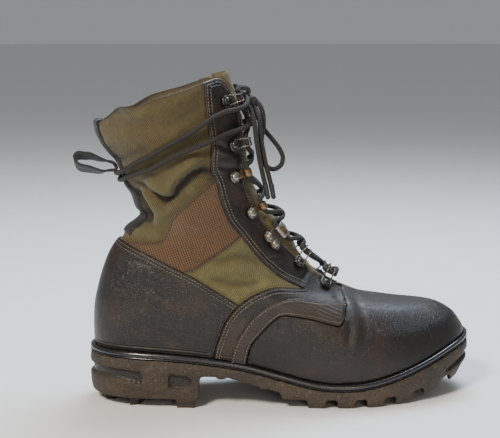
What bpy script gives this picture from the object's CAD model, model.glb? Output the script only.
"""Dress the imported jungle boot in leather, canvas, rubber, metalware and laces, and light it."""

import logging
import math
from dataclasses import dataclass, field
from enum import Enum
from typing import Callable

import bpy
import numpy as np
from mathutils import Matrix, Vector, geometry
from mathutils.kdtree import KDTree


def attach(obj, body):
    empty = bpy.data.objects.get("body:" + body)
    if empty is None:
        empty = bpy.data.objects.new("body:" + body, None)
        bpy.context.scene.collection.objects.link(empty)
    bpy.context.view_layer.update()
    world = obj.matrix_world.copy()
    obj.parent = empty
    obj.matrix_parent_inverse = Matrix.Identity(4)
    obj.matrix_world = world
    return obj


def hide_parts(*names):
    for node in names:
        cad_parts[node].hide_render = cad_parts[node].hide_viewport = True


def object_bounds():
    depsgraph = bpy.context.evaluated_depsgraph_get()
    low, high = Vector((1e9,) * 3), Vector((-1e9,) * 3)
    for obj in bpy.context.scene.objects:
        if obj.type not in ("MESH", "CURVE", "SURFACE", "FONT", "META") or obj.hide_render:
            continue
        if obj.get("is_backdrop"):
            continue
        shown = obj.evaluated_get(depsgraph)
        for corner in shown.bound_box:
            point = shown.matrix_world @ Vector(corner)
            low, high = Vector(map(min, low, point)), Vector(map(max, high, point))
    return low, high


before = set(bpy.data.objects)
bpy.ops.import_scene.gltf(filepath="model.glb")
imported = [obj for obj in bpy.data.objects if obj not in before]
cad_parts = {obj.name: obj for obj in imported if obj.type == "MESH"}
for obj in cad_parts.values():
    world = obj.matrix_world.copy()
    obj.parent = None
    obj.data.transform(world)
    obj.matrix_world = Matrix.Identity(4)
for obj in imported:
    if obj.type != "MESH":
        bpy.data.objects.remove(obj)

log = logging.getLogger("boot")

MM = 0.001

Array = np.ndarray
Place = tuple[float, float]
Point = tuple[float, float, float]


class Side(Enum):
    """Which side of the boot a piece is on, by the sign of its Y."""

    LATERAL = -1
    MEDIAL = 1

    @property
    def word(self) -> str:
        """The side's word in the names of nodes."""
        return self.name.lower()


class Centre(Enum):
    """The line that a layer's own angles are counted round, so that it isn't cut there."""

    TOE = 0
    HEEL = 1


# Tables and the last


def through(xs: Array, ys: Array, at: Array) -> Array:
    """Follow a smooth curve through the rows of a table, straight on past its ends.

    Args:
        xs: The rows' places, rising.
        ys: The rows' values, one for each place, or one row of them for each point of at.
        at: Where the curve is read.

    Returns:
        The curve's values.
    """
    xs = np.asarray(xs, float)
    ys = np.asarray(ys, float)
    at = np.asarray(at, float)
    if ys.ndim == 1:
        ys = np.broadcast_to(ys.reshape(-1, *([1] * at.ndim)), (len(ys), *at.shape))
    slope = np.empty_like(ys)
    gaps = (xs[2:] - xs[:-2]).reshape(-1, *([1] * at.ndim))
    slope[1:-1] = (ys[2:] - ys[:-2]) / gaps
    slope[0] = (ys[1] - ys[0]) / (xs[1] - xs[0])
    slope[-1] = (ys[-1] - ys[-2]) / (xs[-1] - xs[-2])
    i = np.clip(np.searchsorted(xs, at, side="right") - 1, 0, len(xs) - 2)

    def pick(rows: Array, n: Array) -> Array:
        """The value of row n at each point."""
        return np.take_along_axis(rows, n[None], 0)[0]

    span = xs[i + 1] - xs[i]
    s = (at - xs[i]) / span
    made = pick(ys, i) * (1 + 2 * s) * (1 - s) ** 2 + pick(slope, i) * span * s * (1 - s) ** 2
    made = made + pick(ys, i + 1) * s * s * (3 - 2 * s) + pick(slope, i + 1) * span * s * s * (s - 1)
    made = np.where(at < xs[0], ys[0] + slope[0] * (at - xs[0]), made)
    return np.where(at > xs[-1], ys[-1] + slope[-1] * (at - xs[-1]), made)


def smooth_step(low: float, high: float, at: Array) -> Array:
    """A soft step from 0 at low to 1 at high."""
    s = np.clip((np.asarray(at, float) - low) / (high - low), 0, 1)
    return s * s * (3 - 2 * s)


@dataclass
class Last:
    """The boot's last: a point is found by its ring, from the sole up, and its angle round it.

    Sizes are in millimetres, and the tables hold shares of them.
    """

    length: float = 298
    heel_reach: float = 41
    ball: float = 102
    collar_front: float = 256.5
    collar_back: float = 219
    collar_hump: float = 3
    heel_seat: float = 45
    welt: float = 5
    top_ring: int = 15
    throat_foot: float = 7
    corner: float = 7

    seat_rows: tuple[Place, ...] = (
        (-0.017, 1.0), (0.138, 0.978), (0.221, 0.944), (0.305, 0.878), (0.389, 0.778), (0.473, 0.622),
        (0.557, 0.478), (0.607, 0.433), (0.674, 0.433), (0.742, 0.5), (0.809, 0.622), (0.876, 0.778),
        (0.943, 0.944), (1.01, 1.056),
    )
    swing_rows: tuple[Place, ...] = (
        (0, 0), (0.3, -0.05), (0.5, -0.03), (0.67, 0.02), (0.85, 0.1), (1.0, 0.16),
    )
    ground_rows: tuple[Place, ...] = ((0.742, 0), (0.832, 0.07), (0.896, 0.18), (0.943, 0.27), (1.0, 0.41))
    # rise, back, lift, front, dip, then half widths at the toe, ball, waist, heel and rear, and the gap
    ring_rows: tuple[tuple[float, ...], ...] = (
        (0, 0.002, 0, 0.997, 1, 1.294, 1.069, 0.775, 0.824, 1.118, 0.2),
        (0.067, 0, 0.028, 1, 1, 1.314, 1.088, 0.804, 0.863, 1.137, 0.2),
        (0.145, 0, 0.061, 0.988, 0.92, 1.255, 1.088, 0.824, 0.873, 1.137, 0.2),
        (0.218, 0.004, 0.1, 0.963, 0.75, 1.137, 1.039, 0.824, 0.853, 1.098, 0.2),
        (0.296, 0.015, 0.133, 0.913, 0.55, 0.843, 0.922, 0.794, 0.814, 1.039, 0.2),
        (0.363, 0.027, 0.147, 0.832, 0.3, 0.647, 0.784, 0.755, 0.775, 0.961, 0.2),
        (0.425, 0.042, 0.163, 0.745, 0.12, 0.549, 0.676, 0.725, 0.745, 0.863, 0.2),
        (0.478, 0.062, 0.205, 0.664, 0.04, 0.51, 0.627, 0.696, 0.716, 0.745, 0.19),
        (0.52, 0.092, 0.263, 0.597, 0, 0.51, 0.608, 0.667, 0.676, 0.627, 0.2),
        (0.587, 0.116, 0.333, 0.537, 0, 0.53, 0.608, 0.657, 0.657, 0.569, 0.22),
        (0.659, 0.109, 0.415, 0.483, 0, 0.569, 0.637, 0.676, 0.667, 0.569, 0.27),
        (0.732, 0.092, 0.513, 0.441, 0, 0.608, 0.686, 0.716, 0.706, 0.608, 0.33),
        (0.816, 0.07, 0.629, 0.413, 0, 0.647, 0.735, 0.765, 0.745, 0.647, 0.36),
        (0.877, 0.044, 0.751, 0.399, 0, 0.667, 0.765, 0.804, 0.784, 0.667, 0.29),
        (0.933, 0.022, 0.867, 0.386, 0, 0.686, 0.784, 0.824, 0.804, 0.686, 0.27),
        (1, 0.012, 1, 0.359, 0, 0.706, 0.794, 0.833, 0.814, 0.706, 0.4),
    )
    stations: tuple[float, ...] = (0, 0.3, 0.55, 0.8, 1)

    def along(self, share: Array) -> Array:
        """The X of a share of the foot's length."""
        return share * self.length - self.heel_reach

    def share(self, x: Array) -> Array:
        """The share of the foot's length at an X."""
        return (x + self.heel_reach) / self.length

    def table(self, rows: tuple[Place, ...], x: Array) -> Array:
        """Read one of the tables that run along the foot, at an X."""
        return through([r[0] for r in rows], [r[1] for r in rows], self.share(np.asarray(x, float)))

    def seat(self, x: Array) -> Array:
        """Height of the seat line, where the upper meets the sole."""
        return self.heel_seat * self.table(self.seat_rows, x)

    def ground(self, x: Array) -> Array:
        """Height of the line under the sole, rising to the toe."""
        high = self.heel_seat * np.maximum(self.table(self.ground_rows, x), 0)
        return np.where(self.share(x) < self.ground_rows[0][0], 0, high)

    def ring(self, column: int, u: Array) -> Array:
        """Read one column of the rings' table at ring u."""
        values = [row[column] for row in self.ring_rows]
        return through(np.arange(len(values)), values, u)

    def half_width(self, u: Array, share: Array) -> Array:
        """Half the width of ring u at a share of the way round it."""
        u, share = np.broadcast_arrays(np.asarray(u, float), np.asarray(share, float))
        widths = np.stack([self.ring(5 + k, u) for k in range(5)], 0)
        return self.ball / 2 * through(self.stations, widths, share)

    def at(self, u: Array, angle: Array) -> Array:
        """Find points of the last.

        Args:
            u: Rings.
            angle: Angles round them from the toe, positive on the inner side.

        Returns:
            The points, in millimetres.
        """
        u, angle = np.broadcast_arrays(np.asarray(u, float), np.asarray(angle, float))
        share = (1 - np.cos(angle)) / 2
        back = self.along(self.ring(1, u))
        front = self.along(self.ring(3, u))
        back_foot = self.heel_seat - self.welt
        front_foot = self.seat(self.along(self.ring_rows[0][3])) - self.welt
        back_z = back_foot + (self.collar_back - back_foot) * self.ring(0, u)
        front_z = front_foot + (self.collar_front - front_foot) * self.ring(2, u)
        x = front + (back - front) * share
        seats = self.seat(front) + (self.seat(back) - self.seat(front)) * share
        hump = self.collar_hump * np.clip(u - self.top_ring + 1, 0, 1) * 4 * share * (1 - share)
        swing = self.ball / 2 * self.table(self.swing_rows, x)
        y = swing + np.sin(angle) * self.half_width(u, share)
        z = front_z + (back_z - front_z) * share + self.ring(4, u) * (self.seat(x) - seats) + hump
        return np.stack([x, y, z], -1)

    def normal(self, u: Array, angle: Array) -> Array:
        """The outward direction at a ring and an angle."""
        little = 0.001
        up = self.at(u + little, angle) - self.at(u - little, angle)
        around = self.at(u, angle + little) - self.at(u, angle - little)
        out = np.cross(around, up)
        return out / np.linalg.norm(out, axis=-1, keepdims=True)

    def on(self, u: Array, angle: Array, height: Array) -> Array:
        """Points at a height above the last's surface."""
        height = np.asarray(height, float)[..., None]
        return self.at(u, angle) + self.normal(u, angle) * height

    def locate(self, places: Array, side: Side) -> tuple[Array, Array]:
        """Find the rings and angles of places that are drawn in the side view.

        Args:
            places: X and Z of each place, in millimetres.
            side: The side that they are on.

        Returns:
            The rings and the angles.
        """
        x, z = np.asarray(places, float).reshape(-1, 2).T
        low = np.zeros_like(x)
        high = np.full_like(x, self.top_ring)

        def angle_at(u: Array) -> Array:
            """The angle round ring u at the places' X."""
            back = self.along(self.ring(1, u))
            front = self.along(self.ring(3, u))
            share = np.clip((front - x) / (front - back), 0, 1)
            return side.value * np.arccos(1 - 2 * share)

        for _ in range(30):
            u = (low + high) / 2
            below = self.at(u, angle_at(u))[:, 2] < z
            low = np.where(below, u, low)
            high = np.where(below, high, u)
        return low, angle_at(low)

    def gap_angle(self, u: Array) -> Array:
        """Half the throat's opening at ring u, as an angle."""
        return np.arcsin(self.ring(10, u) * self.ball / 2 / self.half_width(u, 0.05))

    def in_throat(self, u: Array, turn: Array) -> Array:
        """Whether places lie in the throat's opening, or off its rounded top corners."""
        across = (np.abs(turn) - self.gap_angle(np.minimum(u, self.top_ring))) * 36
        down = (self.top_ring - u) * 28
        off = (self.corner - across) ** 2 + (self.corner - down) ** 2 > self.corner ** 2
        off = off & (across < self.corner) & (down < self.corner)
        return ((across < 0) & (u > self.throat_foot)) | off

    def throat_edge(self, side: Side, inset: float = 0) -> Array:
        """Follow the throat's edge from its foot up, round the corner and a little back.

        Args:
            side: The side that the edge is on.
            inset: How far inside the leather the line runs, in millimetres.

        Returns:
            Angles and rings, one row for each point.
        """
        top = self.top_ring - self.corner / 28
        u = np.concatenate([np.linspace(self.throat_foot, top, 190), np.full(14, top)])
        turn = self.gap_angle(u) + inset / 36
        swing = np.linspace(0, math.pi / 2, 14)
        radius = self.corner - inset
        u[-14:] = self.top_ring - (self.corner - radius * np.sin(swing)) / 28
        turn[-14:] = self.gap_angle(u[-14:]) + (self.corner - radius * np.cos(swing)) / 36
        return np.stack([side.value * turn, u], -1)

    def footprint(self, angle: Array, margin: Array) -> Array:
        """A flat outline inside the lowest ring, moved out by a margin."""
        little = 0.001
        around = self.at(0.0, angle + little) - self.at(0.0, angle - little)
        out = np.stack([around[..., 1], -around[..., 0]], -1)
        out = out / np.linalg.norm(out, axis=-1, keepdims=True)
        made = self.at(0.0, angle)
        made[..., :2] += out * np.asarray(margin, float)[..., None]
        return made


LAST = Last()


@dataclass(frozen=True)
class Crease:
    """One soft trough or ridge, along a line drawn in the side view.

    Its rise is in millimetres, below zero for a trough, and it fades over its width.
    """

    line: tuple[Place, ...]
    width: float
    rise: float
    side: Side | None = Side.LATERAL
    taper: float = 0.22

    def rise_at(self, x: Array, y: Array, z: Array) -> Array:
        """How far the crease lifts the surface at points."""
        place = np.stack([x, z], -1)
        nearest = np.full(x.shape, 1e9)
        along = np.zeros(x.shape)
        length = sum(math.dist(a, b) for a, b in zip(self.line[:-1], self.line[1:]))
        passed = 0.0
        for a, b in zip(self.line[:-1], self.line[1:]):
            a = np.array(a, float)
            run = np.array(b, float) - a
            share = np.clip(((place - a) @ run) / (run @ run), 0, 1)
            away = ((place - a - share[..., None] * run) ** 2).sum(-1)
            along = np.where(away < nearest, (passed + share * math.hypot(*run)) / length, along)
            nearest = np.minimum(nearest, away)
            passed += math.hypot(*run)
        fade = smooth_step(-0.06, self.taper, along) * smooth_step(1.06, 1 - self.taper, along)
        lift = self.rise * fade * np.exp(-nearest / self.width ** 2)
        if self.side is not None:
            lift = lift * smooth_step(-8, 8, self.side.value * y)
        return lift


@dataclass
class Folds:
    """The creases that wear has left in the leather and the canvas, placed by hand."""

    creases: list[Crease] = field(default_factory=list)
    metal: tuple[Place, ...] = (
        (59.1, 235.7), (64.8, 203.1), (65.4, 178.8), (78.5, 149.8), (94.6, 127), (116.9, 108), (138.4, 90),
    )

    def __post_init__(self) -> None:
        """Fill in the creases of both sides."""
        near: list[tuple[tuple[Place, ...], float, float]] = [
            (((-8, 178), (-1.5, 172.4), (4.6, 167.2), (13.2, 162.9), (16.5, 162.9), (22.4, 167),
              (23.1, 172.1), (27.7, 177.8), (35.2, 184.7), (42.1, 186.5), (47.9, 184.6), (58, 180)), 2.6, -4.8),
            (((-1, 181), (6, 175), (13, 170), (19, 170), (20, 177), (27, 185), (36, 192), (46, 192)), 4.6, 4.2),
            (((-2, 172.6), (4.5, 161.9), (10.4, 151.9), (8.7, 138.9)), 4.2, 3.8),
            (((-9, 171), (-3, 160), (2, 150), (1, 142)), 3.2, -4),
            (((-21.5, 131), (-8.7, 135), (2.6, 134.5), (13.9, 134.5)), 5.5, 4),
            (((-17, 147), (-8, 147.5), (0, 147), (6.6, 145)), 3.6, -4.2),
            (((54, 184), (46, 181), (37, 174.5), (28, 166.5), (21, 159.5), (16, 151), (12, 142)), 3.6, 2.2),
            (((-22, 160), (-16, 170), (-9, 180), (2, 192)), 4.6, 1.8),
            (((20, 163), (25, 169), (31, 175), (38, 179), (46, 180), (56, 177)), 4, -2.6),
            (((6, 162), (13, 158), (17, 160)), 3.2, -2),
            (((-26.9, 227.5), (-18, 231.9), (-5.5, 231), (3.9, 224.9)), 4.4, 2),
            (((-27, 219), (-15, 223), (-4, 221), (6, 216)), 3.4, -1.6),
            (((-12, 217), (4, 226), (22, 236), (36, 243)), 5, 1.2),
            (((12, 216), (28, 226), (46, 236)), 4, -1),
            (((-33, 205), (-20, 207), (-8, 213)), 4.4, 1.2),
            (((-30, 192), (-18, 191), (-6, 199), (6, 206)), 4, -1.6),
            (((16, 188), (28, 198), (44, 207)), 3.6, -1.2),
            (((-25, 160), (-19, 152), (-16, 143)), 4, 1.8),
            (((50, 206.3), (62, 200.2), (74.3, 192.5)), 2, -1.3),
            (((50, 202), (62, 196), (74, 188.5)), 2.4, 1.1),
            (((51.5, 188.9), (63.6, 185), (73.5, 183.4)), 2, -1.3),
            (((55, 193), (64, 190), (73, 187)), 2, 0.5),
            (((70, 172), (78, 166), (86, 163)), 2, -0.6),
            (((88.5, 112.8), (97, 114.5), (106, 112.5)), 2, -1.1),
            (((118, 94), (126, 102), (135, 101)), 1.8, -1.1),
            (((122, 104), (129, 97), (135.4, 89.8)), 1.8, -1),
            (((47, 117), (56, 115), (67, 118.5), (77, 117), (90, 111)), 3.4, -2),
            (((58, 121), (69, 124), (80, 121)), 3, 1.2),
            (((44, 103), (56, 100.5), (65, 98), (77, 97.5), (90, 100)), 3.4, -2),
            (((50, 108), (66, 108.5), (82, 105)), 3.4, 1.5),
            (((143.8, 84.4), (151.7, 76.4), (155.8, 60.4), (152, 48.5)), 2.6, -0.8),
            (((150, 86), (158, 76), (161, 60), (158, 47)), 3, 0.6),
            (((163, 82), (167, 70), (168, 54)), 2.6, -0.6),
            (((-26.6, 94.8), (-5.4, 98.3), (17.2, 86.1), (39.9, 69.9)), 3.4, -0.7),
            (((-24, 84), (0, 84), (25, 72)), 4.4, 0.7),
            (((-21, 71.3), (1.6, 62.9), (28.3, 50.4)), 3.4, -0.6),
            (((-28, 112), (-14, 116), (0, 113), (12, 106)), 3, -0.6),
        ]
        for line, width, rise in near:
            self.creases.append(Crease(line, width, rise))
        far: list[tuple[tuple[Place, ...], float, float]] = [
            (((2, 176), (10, 168), (20, 166), (28, 172), (38, 181)), 2.6, -2.2),
            (((0, 184), (10, 176), (20, 174), (28, 181), (40, 190)), 4.6, 2.2),
            (((-20, 133), (-6, 136), (8, 134)), 5.5, 3),
            (((-14, 148), (-4, 149), (6, 146)), 3.6, -2.4),
            (((-6, 168), (4, 158), (8, 146)), 4.2, 2.2),
            (((-26, 226), (-12, 230), (2, 227)), 4.4, 1.6),
            (((-24, 217), (-10, 219), (6, 214)), 3.6, -1.4),
            (((52, 204), (63, 197), (73, 190)), 2, -0.7),
            (((53, 112), (66, 115), (78, 111)), 2.4, -1.1),
            (((50, 99), (66, 96), (80, 93)), 2.4, -1.1),
            (((146, 84), (153, 72), (155, 56)), 2.6, -0.7),
            (((162, 80), (166, 66), (166, 52)), 2.6, -0.5),
            (((-24, 92), (-2, 95), (20, 82)), 3.4, -0.6),
        ]
        for line, width, rise in far:
            self.creases.append(Crease(line, width, rise, Side.MEDIAL))
        collar = ((-37, 213), (-20, 221.5), (0, 230.5), (20, 239.5), (46, 247))
        self.creases.append(Crease(collar, 3.4, 1.1, None, 0.02))

    def at(self, points: Array) -> Array:
        """How far the surface stands out or in at points of the last."""
        x, y, z = points[..., 0], points[..., 1], points[..., 2]
        rise = sum(crease.rise_at(x, y, z) for crease in self.creases)
        for place in self.metal:
            away = (x - place[0]) ** 2 + (z - place[1]) ** 2
            rise = rise * (1 - np.exp(-away / 50))
        return rise


FOLDS = Folds()

# Where the collar's padding bulges up, how wide and how high, in millimetres.
COLLAR_LUMPS: tuple[Point, ...] = ((-22, 5, 2.6), (-9, 5, -1.2), (6, 7, 1), (30, 9, -0.8))


def draped(u: Array, angle: Array, height: Array) -> Array:
    """Points at a height above the creased surface of the last, with the collar's soft lumps."""
    made = LAST.on(u, angle, np.asarray(height, float) + FOLDS.at(LAST.at(u, angle)))
    near = smooth_step(13.6, 15, u)
    for x, wide, rise in COLLAR_LUMPS:
        lump = rise * np.exp(-((made[..., 0] - x) / wide) ** 2) * smooth_step(8, 20, np.abs(made[..., 1]))
        made[..., 2] += lump * near
    return made


# Shader maths


class Value:
    """A number in a shader: Python's operators on it add its Math nodes."""

    def __init__(self, shader: "Shader", socket: bpy.types.NodeSocket) -> None:
        """Wrap an output socket of a shader."""
        self.shader = shader
        self.socket = socket

    def maths(self, operation: str, *others: "Value | float", first: bool = True) -> "Value":
        """Add a Math node.

        Args:
            operation: The node's operation.
            others: The other numbers that it takes.
            first: Whether this value comes before the others.

        Returns:
            The node's result.
        """
        terms = [self, *others] if first else [*others, self]
        inputs = {i: term for i, term in enumerate(terms)}
        return self.shader.node("ShaderNodeMath", {"operation": operation}, inputs)

    def __add__(self, other: "Value | float") -> "Value":
        """The sum."""
        return self.maths("ADD", other)

    __radd__ = __add__

    def __sub__(self, other: "Value | float") -> "Value":
        """The difference."""
        return self.maths("SUBTRACT", other)

    def __rsub__(self, other: float) -> "Value":
        """The difference, taken from a number."""
        return self.maths("SUBTRACT", other, first=False)

    def __mul__(self, other: "Value | float") -> "Value":
        """The product."""
        return self.maths("MULTIPLY", other)

    __rmul__ = __mul__

    def __truediv__(self, other: "Value | float") -> "Value":
        """The quotient."""
        return self.maths("DIVIDE", other)

    def __pow__(self, other: float) -> "Value":
        """The power."""
        return self.maths("POWER", other)

    def sine(self) -> "Value":
        """The sine."""
        return self.maths("SINE")

    def size(self) -> "Value":
        """The number without its sign."""
        return self.maths("ABSOLUTE")

    def lowest(self, other: "Value | float") -> "Value":
        """The lower of two numbers."""
        return self.maths("MINIMUM", other)

    def highest(self, other: "Value | float") -> "Value":
        """The higher of two numbers."""
        return self.maths("MAXIMUM", other)

    def step(self, low: float, high: float) -> "Value":
        """A soft step from 0 at low to 1 at high."""
        settings = {"interpolation_type": "SMOOTHSTEP"}
        inputs = {"Value": self, "From Min": low, "From Max": high, "To Min": 0.0, "To Max": 1.0}
        return self.shader.node("ShaderNodeMapRange", settings, inputs)

    def line(self, middle: float, width: float) -> "Value":
        """A soft line, 1 at the middle and 0 past its width."""
        return 1 - (self - middle).size().step(0, width)


class Shader:
    """One material's nodes, ending in a single surface shader."""

    def __init__(self, name: str) -> None:
        """Start a material with only its surface shader."""
        self.material = bpy.data.materials.new(name)
        self.material.use_nodes = True
        self.tree = self.material.node_tree
        self.surface = self.tree.nodes["Principled BSDF"]

    def node(self, kind: str, settings: dict, inputs: dict, output: str | int = 0) -> Value:
        """Add a node.

        Args:
            kind: The node's type.
            settings: Its own settings, set before its sockets.
            inputs: Values or links for its sockets, by name or number.
            output: The socket that the result comes from.

        Returns:
            The result.
        """
        made = self.tree.nodes.new(kind)
        for key, value in settings.items():
            setattr(made, key, value)
        for key, value in inputs.items():
            self.feed(made.inputs[key], value)
        return Value(self, made.outputs[output])

    def feed(self, socket: bpy.types.NodeSocket, value: "Value | float | tuple") -> None:
        """Link a value to a socket, or set it there."""
        if isinstance(value, Value):
            self.tree.links.new(value.socket, socket)
        else:
            socket.default_value = value

    def place(self) -> Value:
        """The point's place on the object, in metres."""
        return self.node("ShaderNodeTexCoord", {}, {}, "Object")

    def axis(self, name: str) -> Value:
        """One coordinate of the point, in millimetres."""
        return self.node("ShaderNodeSeparateXYZ", {}, {0: self.place()}, name) * (1 / MM)

    def number(self, name: str) -> Value:
        """A number that the mesh carries at each point."""
        return self.node("ShaderNodeAttribute", {"attribute_name": name}, {}, "Fac")

    def weave(self) -> tuple[Value, Value]:
        """The two coordinates of the cloth or the cord, in millimetres."""
        vector = self.node("ShaderNodeAttribute", {"attribute_name": "weave"}, {}, "Vector")
        parts = [self.node("ShaderNodeSeparateXYZ", {}, {0: vector}, name) for name in ("X", "Y")]
        return parts[0], parts[1]

    def noise(self, size: float, detail: float = 3, stretch: Point = (1, 1, 1), rough: float = 0.55) -> Value:
        """Add a noise whose features are about a size across.

        Args:
            size: Their size, in millimetres.
            detail: How many finer layers it has.
            stretch: How much finer it is along each axis.
            rough: How strong the finer layers are.

        Returns:
            The noise, from 0 to 1.
        """
        scaled = self.node("ShaderNodeMapping", {}, {"Vector": self.place(), "Scale": stretch})
        inputs = {"Vector": scaled, "Scale": 1 / (size * MM), "Detail": detail, "Roughness": rough}
        return self.node("ShaderNodeTexNoise", {}, inputs, 0)

    def cells(self, size: float, feature: str = "DISTANCE_TO_EDGE") -> Value:
        """Cells of about a size, in millimetres: the distance to their edges or middles."""
        settings = {"feature": feature}
        inputs = {"Vector": self.place(), "Scale": 1 / (size * MM)}
        return self.node("ShaderNodeTexVoronoi", settings, inputs, "Distance")

    def blend(self, share: "Value | float", a: "Value | tuple", b: "Value | tuple") -> Value:
        """Mix two colours by a share."""
        made = self.tree.nodes.new("ShaderNodeMix")
        made.data_type = "RGBA"
        self.feed(made.inputs[0], share)
        self.feed(made.inputs[6], a)
        self.feed(made.inputs[7], b)
        return Value(self, made.outputs[2])

    def finish(self, colour: "Value | tuple", rough: "Value | float", relief: "Value | None" = None,
               depth: float = 0.1, **plain: float) -> bpy.types.Material:
        """Connect the surface.

        Args:
            colour: The base colour.
            rough: The roughness.
            relief: The height of the fine relief, from 0 to 1.
            depth: How deep that relief is, in millimetres.
            plain: Other sockets of the surface and their plain values.

        Returns:
            The material.
        """
        self.feed(self.surface.inputs["Base Color"], colour)
        self.feed(self.surface.inputs["Roughness"], rough)
        if relief is not None:
            inputs = {"Height": relief, "Distance": depth * MM, "Strength": 1.0}
            bump = self.node("ShaderNodeBump", {}, inputs, "Normal")
            self.feed(self.surface.inputs["Normal"], bump)
        for key, value in plain.items():
            name = key.replace("_", " ").title().replace("Ior", "IOR")
            self.surface.inputs[name].default_value = value
        self.material.diffuse_color = (0.2, 0.18, 0.15, 1)
        return self.material


def colour(red: float, green: float, blue: float) -> tuple[float, float, float, float]:
    """A colour from its linear parts."""
    return (red, green, blue, 1.0)


@dataclass(frozen=True)
class Leather:
    """Worn black leather with warm brown patches, fine grain and pale scratches."""

    name: str
    black: tuple = colour(0.0045, 0.0036, 0.003)
    warm: tuple = colour(0.030, 0.015, 0.007)
    worn: tuple = colour(0.085, 0.062, 0.045)
    warmth: float = 0.5
    scratch: float = 0.5
    seams: tuple[float, ...] = ()
    ribs: float = 0
    shine: float = 0.36

    def build(self) -> bpy.types.Material:
        """Build the material."""
        s = Shader(self.name)
        edge = s.number("edge")
        cloud = s.noise(38, 3)
        patch = (cloud.step(0.42, 0.66) * self.warmth + s.noise(9, 3).step(0.5, 0.75) * 0.22).lowest(1)
        base = s.blend(patch, self.black, self.warm)
        rim = (1 - edge.step(0.1, 1.1)) * 0.35 * s.noise(4, 2).step(0.35, 0.6)
        long_marks = s.noise(3.2, 2, (1, 1, 0.1)).step(0.64, 0.74) * s.noise(22, 1).step(0.45, 0.62)
        rubs = s.noise(0.9, 2).step(0.6, 0.8) * s.noise(16, 2).step(0.5, 0.68)
        wear = (rim + long_marks * 0.5 * self.scratch + rubs * 0.3 * self.scratch).lowest(1)
        base = s.blend(wear, base, self.worn)
        grain = s.cells(1.15).step(0, 0.22) * 0.5 + s.noise(2.6, 4) * 0.9 + s.noise(0.5, 2) * 0.25
        relief = grain + s.noise(11, 3, (1, 1, 2.2)) * 1.3
        for middle in self.seams:
            relief = relief - edge.line(middle, 0.75) * 1.8
        if self.ribs:
            across = (s.axis("X") * 0.42 + s.axis("Z") * 0.91) * (2 * math.pi / self.ribs)
            relief = relief + across.sine() * 0.6
        rough = s.noise(7, 3) * 0.2 + (self.shine - 0.1) + wear * 0.25
        return s.finish(base, rough, relief, 0.22, coat_weight=0.1, coat_roughness=0.25,
                        specular_ior_level=0.42)


@dataclass(frozen=True)
class Cloth:
    """Woven cloth that follows the piece: canvas, or a cloth with ribs in a slanted grid."""

    name: str
    high: tuple
    low: tuple
    dusty: tuple
    soil: tuple = colour(0.016, 0.011, 0.005)
    pitch: float = 0.85
    grid: float = 0
    depth: float = 0.16
    seams: tuple[float, ...] = ()
    rough: float = 0.86

    def build(self) -> bpy.types.Material:
        """Build the material."""
        s = Shader(self.name)
        u, v = s.weave()
        edge = s.number("edge")
        turn = 2 * math.pi / self.pitch
        warp = (u * turn + s.noise(5, 2) * 1.2).sine()
        weft = (v * turn + s.noise(6, 2) * 1.2).sine()
        thread = warp * weft * 0.5 + 0.5
        relief = thread * 0.8 + s.noise(1.4, 3) * 0.5
        shade = thread * 0.45 + s.noise(3, 3) * 0.3 + s.noise(0.7, 2) * 0.25
        if self.grid:
            slant = 2 * math.pi / self.grid
            x, z = s.axis("X"), s.axis("Z")
            one = ((x * 0.94 + z * 0.34) * slant).sine() * 0.5 + 0.5
            two = ((x * -0.34 + z * 0.94) * slant).sine() * 0.5 + 0.5
            ribs = one.highest(two * 0.75)
            relief = ribs * 2.2 + relief * 0.4
            shade = ribs * 0.65 + shade * 0.35
        base = s.blend(shade.step(0.25, 0.75), self.low, self.high)
        dust = s.noise(26, 4).step(0.5, 0.75) * 0.35 + s.noise(2, 3).step(0.6, 0.8) * 0.15
        base = s.blend(dust, base, self.dusty)
        trough = (0 - s.number("fold")).step(0.2, 2.6)
        soil = ((1 - edge.step(0, 3)) * 0.5 + s.noise(15, 3).step(0.55, 0.8) * 0.3 + trough * 0.92).lowest(1)
        base = s.blend(soil, base, self.soil)
        ridge = s.number("fold").step(0.8, 4) * 0.35
        base = s.blend(ridge, base, self.dusty)
        for middle in self.seams:
            relief = relief - edge.line(middle, 0.8) * 2
        rough = s.noise(6, 2) * 0.1 + (self.rough - 0.05)
        return s.finish(base, rough, relief, self.depth, sheen_weight=0.15)


@dataclass(frozen=True)
class Webbing:
    """Black tape with a slanted rib and frayed lighter threads."""

    name: str
    high: tuple = colour(0.015, 0.0155, 0.018)
    low: tuple = colour(0.003, 0.003, 0.0035)
    pitch: float = 1.7

    def build(self) -> bpy.types.Material:
        """Build the material."""
        s = Shader(self.name)
        u, v = s.weave()
        turn = 2 * math.pi / self.pitch
        rib = ((u + v * 0.8) * turn).sine() * 0.5 + 0.5
        cross = ((u - v * 0.8) * turn).sine() * 0.5 + 0.5
        twill = rib.highest(cross * 0.6)
        base = s.blend(twill * 0.7 + s.noise(2, 3) * 0.3, self.low, self.high)
        fray = s.noise(0.6, 2).step(0.62, 0.75) * 0.35
        base = s.blend(fray, base, colour(0.05, 0.05, 0.053))
        relief = twill + s.noise(0.8, 2) * 0.4
        return s.finish(base, 0.72 + s.noise(5, 2) * 0.15, relief, 0.2, sheen_weight=0.1)


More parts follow.
